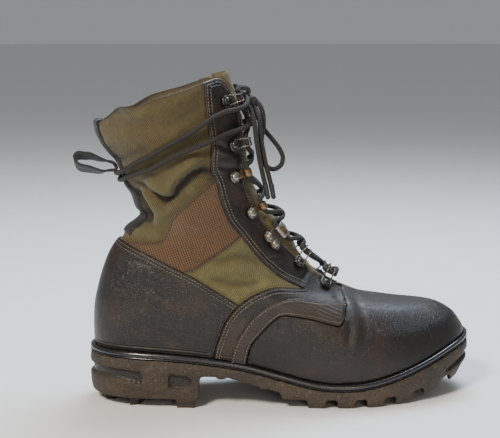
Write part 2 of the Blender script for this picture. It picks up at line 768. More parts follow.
@dataclass(frozen=True)
class Rubber:
    """Sole rubber: pebbled, dusty brown on its proud parts, near black in its hollows."""

    name: str
    dark: tuple = colour(0.010, 0.008, 0.006)
    brown: tuple = colour(0.036, 0.023, 0.0135)
    dusty: tuple = colour(0.125, 0.09, 0.058)

    def build(self) -> bpy.types.Material:
        """Build the material."""
        s = Shader(self.name)
        proud = s.number("proud")
        pebble = s.cells(1.5, "F1").step(0.05, 0.55)
        cloud = s.noise(18, 4)
        base = s.blend((cloud.step(0.3, 0.7) * 0.6 + 0.3) * proud, self.dark, self.brown)
        base = s.blend((1 - pebble) * 0.4 * proud, base, self.dusty)
        dust = s.noise(2.2, 4).step(0.5, 0.72) * s.noise(12, 3).step(0.4, 0.62)
        low_side = 1 - s.axis("Z").step(4, 26)
        base = s.blend((dust * 0.6 + low_side * cloud * 0.25) * proud, base, self.dusty)
        relief = (1 - pebble) * 1.1 + s.noise(3, 4) * 0.8 + s.noise(0.7, 2) * 0.4
        return s.finish(base, 0.34 + proud * 0.25 + cloud * 0.15, relief, 0.4)


@dataclass(frozen=True)
class Bead:
    """The shiny black bead between the upper and the sole, with a dull dusty foot."""

    name: str
    black: tuple = colour(0.010, 0.010, 0.012)
    dusty: tuple = colour(0.12, 0.095, 0.075)

    def build(self) -> bpy.types.Material:
        """Build the material."""
        s = Shader(self.name)
        dust = s.noise(3, 4).step(0.56, 0.78) * s.noise(24, 2).step(0.4, 0.65)
        base = s.blend(dust * 0.45, self.black, self.dusty)
        relief = s.noise(2.4, 3) * 0.6 + s.noise(0.6, 2) * 0.3
        return s.finish(base, 0.2 + dust * 0.3 + s.noise(8, 2) * 0.12, relief, 0.05,
                        coat_weight=0.35, coat_roughness=0.12)


@dataclass(frozen=True)
class Metal:
    """Plated metalware with tarnish in its hollows and rubbed edges."""

    name: str
    bright: tuple
    dull: tuple
    metal: float = 0.9
    rough: float = 0.3

    def build(self) -> bpy.types.Material:
        """Build the material."""
        s = Shader(self.name)
        tarnish = s.noise(1.6, 4).step(0.4, 0.68)
        base = s.blend(tarnish, self.bright, self.dull)
        relief = s.noise(0.5, 3) * 0.5 + s.noise(1.8, 2) * 0.5
        return s.finish(base, self.rough + tarnish * 0.25, relief, 0.012, metallic=self.metal)


@dataclass(frozen=True)
class Braid:
    """Braided lace: strands cross each other round the cord, dark with grey lights."""

    name: str
    high: tuple = colour(0.026, 0.023, 0.021)
    low: tuple = colour(0.003, 0.0026, 0.0023)
    strands: int = 4
    pitch: float = 3.4

    def build(self) -> bpy.types.Material:
        """Build the material."""
        s = Shader(self.name)
        u, v = s.weave()
        one = (u * (2 * math.pi * self.strands) + v * (2 * math.pi / self.pitch)).sine()
        two = (u * (2 * math.pi * self.strands) - v * (2 * math.pi / self.pitch)).sine()
        strand = one * two * 0.5 + 0.5
        base = s.blend(strand.step(0.1, 0.95), self.low, self.high)
        lint = s.noise(0.5, 2).step(0.62, 0.78) * 0.3
        base = s.blend(lint, base, colour(0.075, 0.062, 0.05))
        relief = strand * 1.5 + s.noise(0.5, 2) * 0.4
        return s.finish(base, 0.7 + s.noise(3, 2) * 0.15, relief, 0.3)


@dataclass(frozen=True)
class Plain:
    """A small part with a soft grain: thread, piping, lining or an insole."""

    name: str
    light: tuple
    dark: tuple
    size: float = 1.2
    rough: float = 0.8
    depth: float = 0.08

    def build(self) -> bpy.types.Material:
        """Build the material."""
        s = Shader(self.name)
        share = s.noise(self.size, 3) * 0.6 + s.noise(self.size * 8, 2) * 0.4
        base = s.blend(share.step(0.3, 0.7), self.dark, self.light)
        return s.finish(base, self.rough + share * 0.1 - 0.05, s.noise(self.size * 0.6, 3), self.depth)


@dataclass
class Finishes:
    """All the finishes of the boot, built once."""

    made: dict[str, bpy.types.Material] = field(default_factory=dict)

    def __post_init__(self) -> None:
        """Build every finish."""
        kinds = [
            Leather("vamp_leather", warmth=0.45, scratch=1.0, seams=()),
            Leather("counter_leather", warmth=0.45, scratch=0.7, seams=(1.7, 4.1)),
            Leather("quarter_leather", warmth=0.75, scratch=0.45, seams=(1.7, 4.1)),
            Leather("strap_leather", warmth=0.7, scratch=0.3, seams=(1.6,), ribs=2.6, shine=0.42,
                    black=colour(0.016, 0.012, 0.010)),
            Cloth("canvas", colour(0.100, 0.073, 0.022), colour(0.018, 0.014, 0.004),
                  colour(0.092, 0.088, 0.034), pitch=1.6, depth=0.34),
            Cloth("ribbed_cloth", colour(0.120, 0.058, 0.020), colour(0.016, 0.008, 0.003),
                  colour(0.11, 0.065, 0.028), pitch=0.9, grid=1.8, depth=0.35, seams=(1.6,)),
            Cloth("olive_cloth", colour(0.140, 0.122, 0.040), colour(0.036, 0.032, 0.010),
                  colour(0.15, 0.145, 0.06), soil=colour(0.050, 0.036, 0.012), pitch=1.3,
                  depth=0.25, seams=(1.6,)),
            Cloth("tongue_cloth", colour(0.15, 0.115, 0.04), colour(0.04, 0.03, 0.01),
                  colour(0.20, 0.165, 0.085), pitch=1.2),
            Cloth("lining", colour(0.17, 0.14, 0.085), colour(0.06, 0.05, 0.03),
                  colour(0.2, 0.17, 0.11), pitch=0.8),
            Webbing("webbing"),
            Rubber("sole_rubber"),
            Bead("bead"),
            Metal("dark_metal", colour(0.10, 0.095, 0.09), colour(0.012, 0.012, 0.014), rough=0.26),
            Metal("bright_metal", colour(0.36, 0.33, 0.29), colour(0.15, 0.125, 0.10), rough=0.3),
            Metal("bronze_metal", colour(0.24, 0.165, 0.085), colour(0.08, 0.05, 0.03), rough=0.32),
            Metal("wire_metal", colour(0.17, 0.15, 0.13), colour(0.03, 0.025, 0.022), rough=0.28),
            Braid("lace_braid"),
            Plain("pale_thread", colour(0.21, 0.175, 0.135), colour(0.05, 0.04, 0.03), 1.4),
            Plain("brown_thread", colour(0.07, 0.045, 0.022), colour(0.02, 0.012, 0.006), 1.4),
            Plain("piping", colour(0.13, 0.11, 0.095), colour(0.018, 0.015, 0.013), 2.0, 0.42),
            Plain("insole_foam", colour(0.10, 0.085, 0.065), colour(0.04, 0.033, 0.025), 1.6, 0.9),
            Plain("lace_tip", colour(0.02, 0.018, 0.016), colour(0.006, 0.006, 0.006), 1.0, 0.3, 0.02),
        ]
        for kind in kinds:
            self.made[kind.name] = kind.build()

    def __getitem__(self, name: str) -> bpy.types.Material:
        """A finish by its name."""
        return self.made[name]


# Building blocks


def quiet() -> None:
    """Leave edit mode and deselect everything."""
    if bpy.context.object and bpy.context.object.mode != "OBJECT":
        bpy.ops.object.mode_set(mode="OBJECT")
    bpy.ops.object.select_all(action="DESELECT")


def activate(piece: bpy.types.Object) -> None:
    """Make one piece the only selected one."""
    quiet()
    piece.select_set(True)
    bpy.context.view_layer.objects.active = piece


def mesh_piece(name: str, points: Array, faces: list, numbers: dict[str, Array] | None = None) -> bpy.types.Object:
    """Make a mesh from its points and faces.

    Args:
        name: The piece's name.
        points: The points, in millimetres.
        faces: The faces, by the numbers of their points.
        numbers: Values for each point, or each corner of a face, by the name of what they carry.

    Returns:
        The new piece.
    """
    mesh = bpy.data.meshes.new(name)
    mesh.from_pydata((np.asarray(points) * MM).tolist(), [], [list(map(int, f)) for f in faces])
    piece = bpy.data.objects.new(name, mesh)
    bpy.context.scene.collection.objects.link(piece)
    for key, values in (numbers or {}).items():
        values = np.asarray(values, np.float32)
        domain = "POINT" if len(values) == len(mesh.vertices) else "CORNER"
        kind = "FLOAT" if values.ndim == 1 else "FLOAT_VECTOR"
        carried = mesh.attributes.new(key, kind, domain)
        carried.data.foreach_set("value" if values.ndim == 1 else "vector", values.ravel())
    return piece


def smooth(piece: bpy.types.Object, angle: float = 40) -> bpy.types.Object:
    """Shade a piece smooth, apart from edges sharper than an angle."""
    activate(piece)
    bpy.ops.object.shade_smooth_by_angle(angle=math.radians(angle))
    return piece


def outwards(piece: bpy.types.Object, merge: float = 0.0) -> bpy.types.Object:
    """Merge a piece's doubles and turn its faces outwards."""
    activate(piece)
    bpy.ops.object.mode_set(mode="EDIT")
    bpy.ops.mesh.select_all(action="SELECT")
    if merge:
        bpy.ops.mesh.remove_doubles(threshold=merge * MM)
    bpy.ops.mesh.normals_make_consistent(inside=False)
    bpy.ops.object.mode_set(mode="OBJECT")
    return piece


def apply(piece: bpy.types.Object, kind: str, **settings: object) -> bpy.types.Object:
    """Add a modifier to a piece and apply it.

    Args:
        piece: The piece.
        kind: The modifier's type.
        settings: Its settings.

    Returns:
        The same piece.
    """
    activate(piece)
    made = piece.modifiers.new(kind, kind)
    for key, value in settings.items():
        setattr(made, key, value)
    bpy.ops.object.modifier_apply(modifier=made.name)
    return piece


def combine(piece: bpy.types.Object, other: bpy.types.Object, how: str) -> bpy.types.Object:
    """Cut, join or intersect a piece with another, which is used up."""
    apply(piece, "BOOLEAN", operation=how, object=other, solver="EXACT")
    bpy.data.objects.remove(other)
    return piece


def join(name: str, pieces: list[bpy.types.Object]) -> bpy.types.Object:
    """Join pieces into one with a new name."""
    quiet()
    for piece in pieces:
        piece.select_set(True)
    bpy.context.view_layer.objects.active = pieces[0]
    bpy.ops.object.join()
    pieces[0].name = name
    pieces[0].data.name = name
    return pieces[0]


def dress(piece: bpy.types.Object, finish: bpy.types.Material,
          nodes: tuple[str, ...] = ()) -> bpy.types.Object:
    """Give a piece its finish, and tie it to the frame.

    Args:
        piece: The piece.
        finish: Its material, put in front of any it has.
        nodes: The nodes that it stands for.

    Returns:
        The same piece.
    """
    if not piece.data.materials:
        piece.data.materials.append(finish)
    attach(piece, "root")
    if nodes:
        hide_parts(*nodes)
    log.info("%s: %d points", piece.name, len(piece.data.vertices))
    return piece


def quads(rows: int, columns: int, closed: bool) -> list[tuple[int, int, int, int]]:
    """The faces between the rows and columns of a grid of points."""
    made = []
    for row in range(rows - 1):
        for column in range(columns if closed else columns - 1):
            after = (column + 1) % columns
            a, b = row * columns + column, row * columns + after
            made.append((a, b, b + columns, a + columns))
    return made


def catmull(points: Array, step: float, closed: bool = False) -> Array:
    """Follow a smooth curve through points, spaced evenly.

    Args:
        points: The points, one in each row.
        step: The distance between the points of the result.
        closed: Whether the curve comes back to its start.

    Returns:
        The curve's points.
    """
    points = np.asarray(points, float)
    if closed:
        points = np.concatenate([points[-1:], points, points[:2]])
    else:
        points = np.concatenate([[2 * points[0] - points[1]], points, [2 * points[-1] - points[-2]]])
    knots = np.concatenate([[0], np.cumsum(np.linalg.norm(np.diff(points, axis=0), axis=1) ** 0.5)])
    found = []
    for i in range(1, len(points) - 2):
        t0, t1, t2, t3 = knots[i - 1:i + 3]
        p0, p1, p2, p3 = points[i - 1:i + 3]
        t = np.linspace(t1, t2, 24, endpoint=False)[:, None]
        a1 = (t1 - t) / (t1 - t0) * p0 + (t - t0) / (t1 - t0) * p1
        a2 = (t2 - t) / (t2 - t1) * p1 + (t - t1) / (t2 - t1) * p2
        a3 = (t3 - t) / (t3 - t2) * p2 + (t - t2) / (t3 - t2) * p3
        b1 = (t2 - t) / (t2 - t0) * a1 + (t - t0) / (t2 - t0) * a2
        b2 = (t3 - t) / (t3 - t1) * a2 + (t - t1) / (t3 - t1) * a3
        found.append((t2 - t) / (t2 - t1) * b1 + (t - t1) / (t2 - t1) * b2)
    found.append(points[-2][None])
    return even(np.concatenate(found), step)


def even(line: Array, step: float) -> Array:
    """Space the points of a line evenly."""
    line = np.asarray(line, float)
    run = np.concatenate([[0], np.cumsum(np.linalg.norm(np.diff(line, axis=0), axis=1))])
    count = max(int(round(run[-1] / step)), 1)
    at = np.linspace(0, run[-1], count + 1)
    return np.stack([np.interp(at, run, line[:, k]) for k in range(line.shape[1])], -1)


def tube(name: str, path: Array, radius: Array | float, sides: int = 12,
         squash: float = 1.0) -> bpy.types.Object:
    """Make a round tube along a path, with closed ends.

    Args:
        name: The piece's name.
        path: The path's points, in millimetres.
        radius: The tube's radius, or one for each point.
        sides: How many sides it has.
        squash: How much flatter it is across than it is wide.

    Returns:
        The tube, which carries its way round and along itself.
    """
    path = np.asarray(path, float)
    run = np.gradient(path, axis=0)
    run /= np.linalg.norm(run, axis=1, keepdims=True)
    radius = np.broadcast_to(np.asarray(radius, float), len(path))
    wide = np.cross(run[0], [0, 0, 1.0])
    if np.linalg.norm(wide) < 0.1:
        wide = np.cross(run[0], [0, 1.0, 0])
    angles = np.arange(sides) / sides * 2 * math.pi
    points = []
    for at, way, reach in zip(path, run, radius):
        wide = wide - way * (wide @ way)
        wide /= np.linalg.norm(wide)
        up = np.cross(way, wide)
        points.append(at + reach * (np.cos(angles)[:, None] * wide + squash * np.sin(angles)[:, None] * up))
    rows = len(path)
    faces = quads(rows, sides, True)
    length = np.concatenate([[0], np.cumsum(np.linalg.norm(np.diff(path, axis=0), axis=1))])
    corners = []
    for row in range(rows - 1):
        for column in range(sides):
            here, there = column / sides, (column + 1) / sides
            corners += [(here, length[row], 0), (there, length[row], 0)]
            corners += [(there, length[row + 1], 0), (here, length[row + 1], 0)]
    ends = np.stack([path[0] - run[0] * radius[0] * 0.45, path[-1] + run[-1] * radius[-1] * 0.45])
    first, last = rows * sides, rows * sides + 1
    for column in range(sides):
        after = (column + 1) % sides
        faces.append((after, column, first))
        corners += [((column + 1) / sides, 0, 0), (column / sides, 0, 0), (0.5, 0, 0)]
        top = (rows - 1) * sides
        faces.append((top + column, top + after, last))
        corners += [(column / sides, length[-1], 0), ((column + 1) / sides, length[-1], 0), (0.5, length[-1], 0)]
    piece = mesh_piece(name, np.concatenate([np.concatenate(points), ends]), faces, {"weave": np.array(corners)})
    return smooth(piece, 60)


def prism(name: str, outline: list[Place], low: float, high: float, plan: bool = False) -> bpy.types.Object:
    """Make a bar with an outline drawn in the side view, or in the plan.

    Args:
        name: The bar's name.
        outline: The outline's corners.
        low: Where the bar starts, along Y, or along Z in the plan.
        high: Where it ends.
        plan: Whether the outline is drawn in the plan.

    Returns:
        The bar.
    """
    flat = [(a, b, low) if plan else (a, low, b) for a, b in outline]
    piece = mesh_piece(name, np.array(flat, float), [tuple(range(len(flat)))])
    activate(piece)
    bpy.ops.object.mode_set(mode="EDIT")
    bpy.ops.mesh.select_all(action="SELECT")
    reach = (high - low) * MM
    move = (0, 0, reach) if plan else (0, reach, 0)
    bpy.ops.mesh.extrude_region_move(TRANSFORM_OT_translate={"value": move})
    bpy.ops.object.mode_set(mode="OBJECT")
    return outwards(piece)


def grown(line: Array, by: float, closed: bool) -> Array:
    """Move a line in the side view sideways: to the right of its run where by is above zero."""
    line = np.asarray(line, float)
    if closed:
        before, after = np.roll(line, 1, 0), np.roll(line, -1, 0)
    else:
        before = np.concatenate([line[:1] * 2 - line[1:2], line[:-1]])
        after = np.concatenate([line[1:], line[-1:] * 2 - line[-2:-1]])
    run = after - before
    run /= np.maximum(np.linalg.norm(run, axis=1, keepdims=True), 1e-9)
    return line + by * np.stack([run[:, 1], -run[:, 0]], -1)


def inside(outline: Array, x: Array, z: Array) -> Array:
    """Whether points lie inside a closed outline."""
    found = np.zeros(x.shape, bool)
    after = np.roll(outline, -1, 0)
    for (ax, az), (bx, bz) in zip(outline, after):
        if az == bz:
            continue
        crosses = (az > z) != (bz > z)
        found ^= crosses & (x < (bx - ax) * (z - az) / (bz - az) + ax)
    return found


# The panels' lines, in hundredths of the foot's length and of the collar's front height.
LINES: dict[str, tuple[Place, ...]] = {
    "counter_top": ((-8, 51.5), (6.5, 49.9), (10.1, 48.4), (15.1, 45.9), (21.1, 42.6), (25.1, 40.4),
                    (31.2, 36.1), (37.1, 31.8)),
    "saddle_edge": ((30.4, 8), (30.8, 16.8), (32.1, 22.1), (34.1, 27.6), (37.1, 31.7), (40.5, 34.4),
                    (45.3, 36.1), (49.7, 35.9), (54.4, 35.1)),
    "facing_back": ((54.4, 35.1), (48.1, 39.1), (41.6, 46.4), (37.9, 52), (35.5, 55.5), (34.5, 57.4),
                    (32.7, 63.1), (31.2, 69.7), (30.1, 72.7), (30.1, 79.1), (29.1, 87.6), (28.7, 92.5),
                    (27.6, 104)),
    "quarter_front": ((62, 42), (63.8, 36), (65.3, 33.4), (65.3, 30.6), (64.4, 26.7), (63, 24.9)),
    "vamp_edge": ((63, 24.9), (60.2, 25.7), (56.7, 27), (52.8, 28), (48.1, 28.7), (46, 27.4), (42.6, 23.5),
                  (40.2, 20), (39, 14.6), (38.6, 8)),
    "rib_edge": ((65.3, 30.2), (58, 31.2), (50.9, 32.9), (46.7, 32.3), (42.7, 30), (40.2, 27.5), (38, 24),
                 (35.7, 18.3), (34.6, 8)),
    "ankle_top": ((33.5, 70.4), (30.7, 68.9), (27.8, 66.4), (24.8, 63.1), (22.3, 60.5), (20.6, 57.9),
                  (19.2, 54.1), (18, 51), (15.9, 50.1), (12.1, 49.6), (2, 50)),
    "ankle_front": ((2, 40), (24.2, 41.6), (29.3, 44.9), (33.7, 48.3), (37.9, 52), (40, 54)),
}


def drawn(places: tuple[Place, ...]) -> Array:
    """Places in hundredths, as millimetres in the side view."""
    made = np.array(places, float) / 100
    return np.stack([LAST.along(made[:, 0]), made[:, 1] * LAST.collar_front], -1)


def line(name: str, step: float = 1.0) -> Array:
    """One of the panels' lines as a smooth curve in the side view."""
    return catmull(drawn(LINES[name]), step)


def outline(*parts: str | tuple[Place, ...]) -> Array:
    """Join lines, by name and backwards after a minus sign, and corners into a closed outline."""
    made = []
    for part in parts:
        if isinstance(part, tuple):
            made.append(drawn(part))
        elif part.startswith("-"):
            made.append(line(part[1:])[::-1])
        else:
            made.append(line(part))
    joined = np.concatenate(made)
    apart = np.linalg.norm(joined - np.roll(joined, 1, 0), axis=1) > 0.05
    joined = joined[apart]
    return even(np.concatenate([joined, joined[:1]]), 1.0)[:-1]


OUTLINES: dict[str, Array] = {
    "quarter": outline("saddle_edge", "facing_back", ((50, 104), (50, 70)), "quarter_front", "vamp_edge"),
    "strap": outline("rib_edge", "-vamp_edge", ((64.4, 26.7),)),
    "counter": outline("counter_top", ((37.1, 8), (-8, 8))),
    "vamp": outline(((36, 8), (36, 32), (52, 34), (60, 44), (110, 44), (110, 3), (80, 2))),
    "ankle": outline("ankle_top", "ankle_front", ((40, 70),)),
    "side": outline(((18, 36), (24.2, 42), (38.5, 53.5), (57, 36), (57, 30), (36, 24))),
}


@dataclass
class Layer:
    """A sheet of leather or cloth, cut to its outline and laid over the last."""

    name: str
    nodes: tuple[str, ...]
    finish: str
    slot: str
    base: float
    thick: float
    own: str | None = None
    over: tuple[str, ...] = ()
    side: Side | None = None
    centre: Centre = Centre.HEEL
    spacing: float = 1.5
    round_edge: float = 1.3
    under: float = 0.28
    rings: Place = (0, 15)
    strip: float = 0
    whole: bool = False
    lining: str | None = None

    def sides(self) -> list[Side]:
        """The sides that the layer has a part on."""
        return [self.side] if self.side else [Side.LATERAL, Side.MEDIAL]

    def turned(self, angle: Array) -> Array:
        """Angles counted in the layer's own way, without a cut through it."""
        if self.centre is Centre.HEEL:
            return np.mod(angle, 2 * math.pi)
        return np.mod(angle + math.pi, 2 * math.pi) - math.pi

    def keeps(self, u: Array, angle: Array) -> Array:
        """Whether the layer has material at rings and angles."""
        points = LAST.at(u, angle)
        x, y, z = points[..., 0], points[..., 1], points[..., 2]
        turn = np.mod(angle + math.pi, 2 * math.pi) - math.pi
        kept = ~LAST.in_throat(u, turn)
        if self.side:
            kept &= turn * self.side.value >= 0
        if not self.whole:
            kept &= z >= LAST.seat(x) + 0.45
        if self.own:
            kept &= inside(OUTLINES[self.own], x, z)
        for name in self.over:
            kept &= ~inside(OUTLINES[name], x, z)
        if self.strip:
            within = (np.abs(y) < self.strip / 2) & (z > 0.512 * LAST.collar_front) & (x < 40)
            kept &= within if self.own is None else ~within
        return kept

    def edges(self) -> list[Array]:
        """Every line that can bound the layer, as angles and rings."""
        found = []
        names = [n for n in (self.own, *self.over) if n]
        for side in self.sides():
            for name in names:
                u, angle = LAST.locate(OUTLINES[name], side)
                found += self.runs(u, angle, closed=True)
            for inset in (0, 0.5, 1.2):
                edge = LAST.throat_edge(side, inset)
                found += self.runs(edge[:, 1], edge[:, 0])
        fine = np.linspace(0.002, 2 * math.pi - 0.002, 620)
        if not self.whole:
            found += self.runs(self.seat_rings(fine), fine)
        gap = float(LAST.gap_angle(np.array(LAST.throat_foot)))
        across = np.linspace(-gap, gap, 25)
        if self.centre is Centre.TOE:
            found += self.runs(np.full(25, LAST.throat_foot), across)
        else:
            crest = np.linspace(self.rings[0], LAST.throat_foot, 240)
            for angle in (0.0004, 2 * math.pi - 0.0004):
                found += self.runs(crest, np.full(240, angle))
        if self.rings[1] >= LAST.top_ring:
            found += self.runs(np.full(620, LAST.top_ring * 1.0), fine)
        if self.strip:
            u = np.linspace(5, 15, 130)
            half = np.arcsin(self.strip / 2 / LAST.half_width(u, 0.97))
            found += self.runs(u, math.pi - half) + self.runs(u, math.pi + half)
            level = np.linspace(-0.5, 0.5, 40)
            foot = LAST.locate(np.array([[-30, 0.512 * LAST.collar_front]]), Side.MEDIAL)[0][0]
            found += self.runs(np.full(40, foot), math.pi + level)
        return found

    def runs(self, u: Array, angle: Array, closed: bool = False) -> list[Array]:
        """Split a line where it leaves the last's side, or jumps.

        Args:
            u: The line's rings.
            angle: The line's angles.
            closed: Whether it comes back to its start.

        Returns:
            The stretches that lie on the last, as angles and rings.
        """
        if closed:
            u, angle = np.append(u, u[0]), np.append(angle, angle[0])
        share = (1 - np.cos(angle)) / 2
        good = (share > 0.0002) & (share < 0.9998) | ~np.bool_(closed)
        good &= (u >= self.rings[0]) & (u <= LAST.top_ring)
        turned = self.turned(angle)
        made, start = [], 0
        for i in range(1, len(u) + 1):
            stop = i == len(u) or not (good[i] and good[i - 1]) or abs(turned[i] - turned[i - 1]) > 1
            if stop:
                if i - start > 1 and good[start]:
                    made.append(np.stack([turned[start:i], u[start:i]], -1))
                start = i
        return made

    def seat_rings(self, angle: Array) -> Array:
        """The ring at which the seat line runs, at each angle."""
        low, high = np.zeros_like(angle), np.full_like(angle, 3.0)
        for _ in range(24):
            u = (low + high) / 2
            points = LAST.at(u, angle)
            below = points[:, 2] < LAST.seat(points[:, 0]) + 0.45
            low, high = np.where(below, u, low), np.where(below, high, u)
        return low

    def filling(self) -> Array:
        """Points inside the layer, spaced evenly over its surface, as angles and rings."""
        found = []
        start = 0.0 if self.centre is Centre.HEEL else -math.pi
        angle = np.linspace(start, start + 2 * math.pi, 721)
        u, odd = self.rings[0] + 0.04, 0
        while u < self.rings[1] - 0.02:
            up = np.linalg.norm(LAST.at(u + 0.05, angle) - LAST.at(u - 0.05, angle), axis=1) / 0.1
            step = self.spacing / up.max()
            around = np.linalg.norm(LAST.at(u, angle + 0.004) - LAST.at(u, angle - 0.004), axis=1) / 0.008
            dense = around * np.maximum(up * step / self.spacing, 0.4) / self.spacing
            count = np.concatenate([[0], np.cumsum((dense[1:] + dense[:-1]) / 2 * np.diff(angle))])
            marks = np.arange(0.25 + odd * 0.5, count[-1], 1.0)
            at = np.interp(marks, count, angle)
            found.append(np.stack([at, np.full(len(at), u)], -1))
            u, odd = u + step, 1 - odd
        made = np.concatenate(found)
        return made[self.keeps(made[:, 1], made[:, 0])]

    def shoulders(self) -> Array:
        """Points just inside the outlines, for a rounded edge."""
        found = []
        for side in self.sides():
            for name in [n for n in (self.own, *self.over) if n]:
                for by in (-1.2, -0.5, 0.5, 1.2):
                    u, angle = LAST.locate(grown(OUTLINES[name], by, True), side)
                    found.append(np.stack([self.turned(angle), u], -1))
        if not found:
            return np.zeros((0, 2))
        made = np.concatenate(found)
        return made[self.keeps(made[:, 1], made[:, 0])]

    def flat(self) -> tuple[Array, Array]:
        """Fill the outline with triangles.

        Returns:
            The points, as angles and rings, and the triangles.
        """
        scale = np.array([55.0, 16.0])
        edges = self.edges()
        corners, links = [], []
        for run in edges:
            first = sum(len(c) for c in corners)
            corners.append(run)
            links += [(first + i, first + i + 1) for i in range(len(run) - 1)]
        fixed = np.concatenate(corners) if corners else np.zeros((0, 2))
        tree = KDTree(max(len(fixed), 1))
        for i, place in enumerate(fixed * scale):
            tree.insert((place[0], place[1], 0), i)
        tree.balance()
        loose = []
        for points, near in ((self.shoulders(), 0.25), (self.filling(), 0.45 * self.spacing)):
            for place in points:
                where = place * scale
                if not len(fixed) or tree.find((where[0], where[1], 0))[2] > near:
                    loose.append(place)
        places = np.concatenate([fixed, np.array(loose)]) if len(fixed) else np.array(loose)
        flat = [Vector(place) for place in (places * scale).tolist()]
        found = geometry.delaunay_2d_cdt(flat, links, [], 0, 1e-4)
        made = np.array([(v[0], v[1]) for v in found[0]]) / scale
        faces = np.array(found[2])
        middles = made[faces].mean(1)
        kept = self.keeps(middles[:, 1], middles[:, 0])
        low, high = self.rings
        kept &= (middles[:, 1] > low) & (middles[:, 1] < high)
        faces = faces[kept]
        used = np.unique(faces)
        number = np.full(len(made), -1)
        number[used] = np.arange(len(used))
        return made[used], number[faces]

    def weave(self, places: Array) -> Array:
        """Coordinates that follow the cloth, in millimetres round the boot and up it."""
        angle = np.linspace(0, 2 * math.pi, 361)
        rings = np.arange(0, 15.6, 0.5)
        grid = LAST.at(rings[:, None], angle[None, :])
        run = np.linalg.norm(np.diff(grid, axis=1), axis=2)
        total = np.concatenate([np.zeros((len(rings), 1)), np.cumsum(run, 1)], 1)
        total -= total[:, 180:181]
        turn = np.mod(places[:, 0], 2 * math.pi)
        column = np.clip(turn / (2 * math.pi) * 360, 0, 359.999)
        row = np.clip(places[:, 1] / 0.5, 0, len(rings) - 1.001)
        c, r = column.astype(int), row.astype(int)
        a, b = column - c, row - r
        around = (total[r, c] * (1 - a) * (1 - b) + total[r, c + 1] * a * (1 - b)
                  + total[r + 1, c] * (1 - a) * b + total[r + 1, c + 1] * a * b)
        height = LAST.at(places[:, 1], places[:, 0])[:, 2]
        return np.stack([around, height, np.zeros(len(places))], -1)

    def build(self, finishes: Finishes) -> bpy.types.Object:
        """Make the layer and dress it."""
        places, faces = self.flat()
        points = LAST.at(places[:, 1], places[:, 0])
        first = points[faces]
        facing = np.cross(first[:, 1] - first[:, 0], first[:, 2] - first[:, 0])
        away = LAST.normal(places[faces[:, 0], 1], places[faces[:, 0], 0])
        wrong = (facing * away).sum(1) < 0
        faces[wrong] = faces[wrong][:, ::-1]
        sides = np.concatenate([faces[:, [0, 1]], faces[:, [1, 2]], faces[:, [2, 0]]])
        seen = {(a, b) for a, b in sides.tolist()}
        rim = [(a, b) for a, b in seen if (b, a) not in seen]
        border = sorted({a for pair in rim for a in pair})
        tree = KDTree(len(border))
        for i in border:
            tree.insert(points[i], i)
        tree.balance()
        edge = np.array([tree.find(p)[2] for p in points])
        dome = np.sqrt(1 - (1 - np.clip(edge / self.round_edge, 0, 1)) ** 2)
        height = self.base + self.thick * (0.3 + 0.7 * dome)
        top = draped(places[:, 1], places[:, 0], height)
        bottom = draped(places[:, 1], places[:, 0], np.full(len(places), self.base - self.under))
        count = len(places)
        made = faces.tolist() + (faces[:, ::-1] + count).tolist()
        made += [(b, a, a + count, b + count) for a, b in rim]
        cloth = self.weave(places)
        fold = FOLDS.at(points)
        numbers = {"edge": np.concatenate([edge, edge]), "weave": np.concatenate([cloth, cloth]),
                   "fold": np.concatenate([fold, fold])}
        piece = mesh_piece(self.name, np.concatenate([top, bottom]), made, numbers)
        if self.lining:
            piece.data.materials.append(finishes[self.finish])
            piece.data.materials.append(finishes[self.lining])
            inner = np.zeros(len(made), int)
            inner[len(faces):2 * len(faces)] = 1
            piece.data.polygons.foreach_set("material_index", inner)
        smooth(piece, 55)
        return dress(piece, finishes[self.finish], self.nodes)


@dataclass
class Upper:
    """The canvas shell and all the leather and cloth layers over it."""

    clearance: float = 0.3
    wall: float = 2.4
    quarter: float = 2.1
    vamp: float = 1.4
    counter: float = 1.5
    patch: float = 0.9
    strap: float = 1.4
    backstay: float = 1.4
    backstay_width: float = 24

    def layers(self) -> list[Layer]:
        """The layers, from the inside out."""
        base = self.clearance
        made = [
            Layer("canvas_shell", ("upper",), "canvas", "canvas", 0, 0.02, whole=True, spacing=2.0,
                  under=self.wall, round_edge=0.6, lining="lining"),
            Layer("vamp_leather", ("vamp",), "vamp_leather", "leather", base, self.vamp, "vamp", ("quarter",),
                  centre=Centre.TOE, rings=(0, 8.5), spacing=1.7),
            Layer("counter_leather", ("counter",), "counter_leather", "leather", base, self.counter, "counter",
                  ("quarter",), rings=(0, 10), spacing=1.7),
            Layer("backstay_tape", ("backstay",), "webbing", "webbing", base, self.backstay, None, ("counter",),
                  strip=self.backstay_width, rings=(5, 15)),
        ]
        for side in Side:
            word = side.word
            made += [
                Layer(f"ankle_cloth_{word}", (f"ankle_patch_{word}",), "ribbed_cloth", "ribbed", base, self.patch,
                      "ankle", ("quarter", "counter"), side, rings=(4, 13), strip=self.backstay_width),
                Layer(f"side_cloth_{word}", (f"side_panel_{word}",), "olive_cloth", "olive", base, self.patch,
                      "side", ("quarter", "counter", "ankle"), side, rings=(3, 11)),
                Layer(f"quarter_leather_{word}", (f"quarter_{word}",), "quarter_leather", "leather", base,
                      self.quarter, "quarter", (), side, rings=(0, 15)),
                Layer(f"strap_leather_{word}", (f"strap_{word}",), "strap_leather", "leather",
                      2 * base + self.quarter - 0.1, self.strap, "strap", (), side, rings=(0, 8.5), under=0.4),
            ]
        return made

    def build(self, finishes: Finishes) -> None:
        """Make every layer."""
        for layer in self.layers():
            layer.build(finishes)


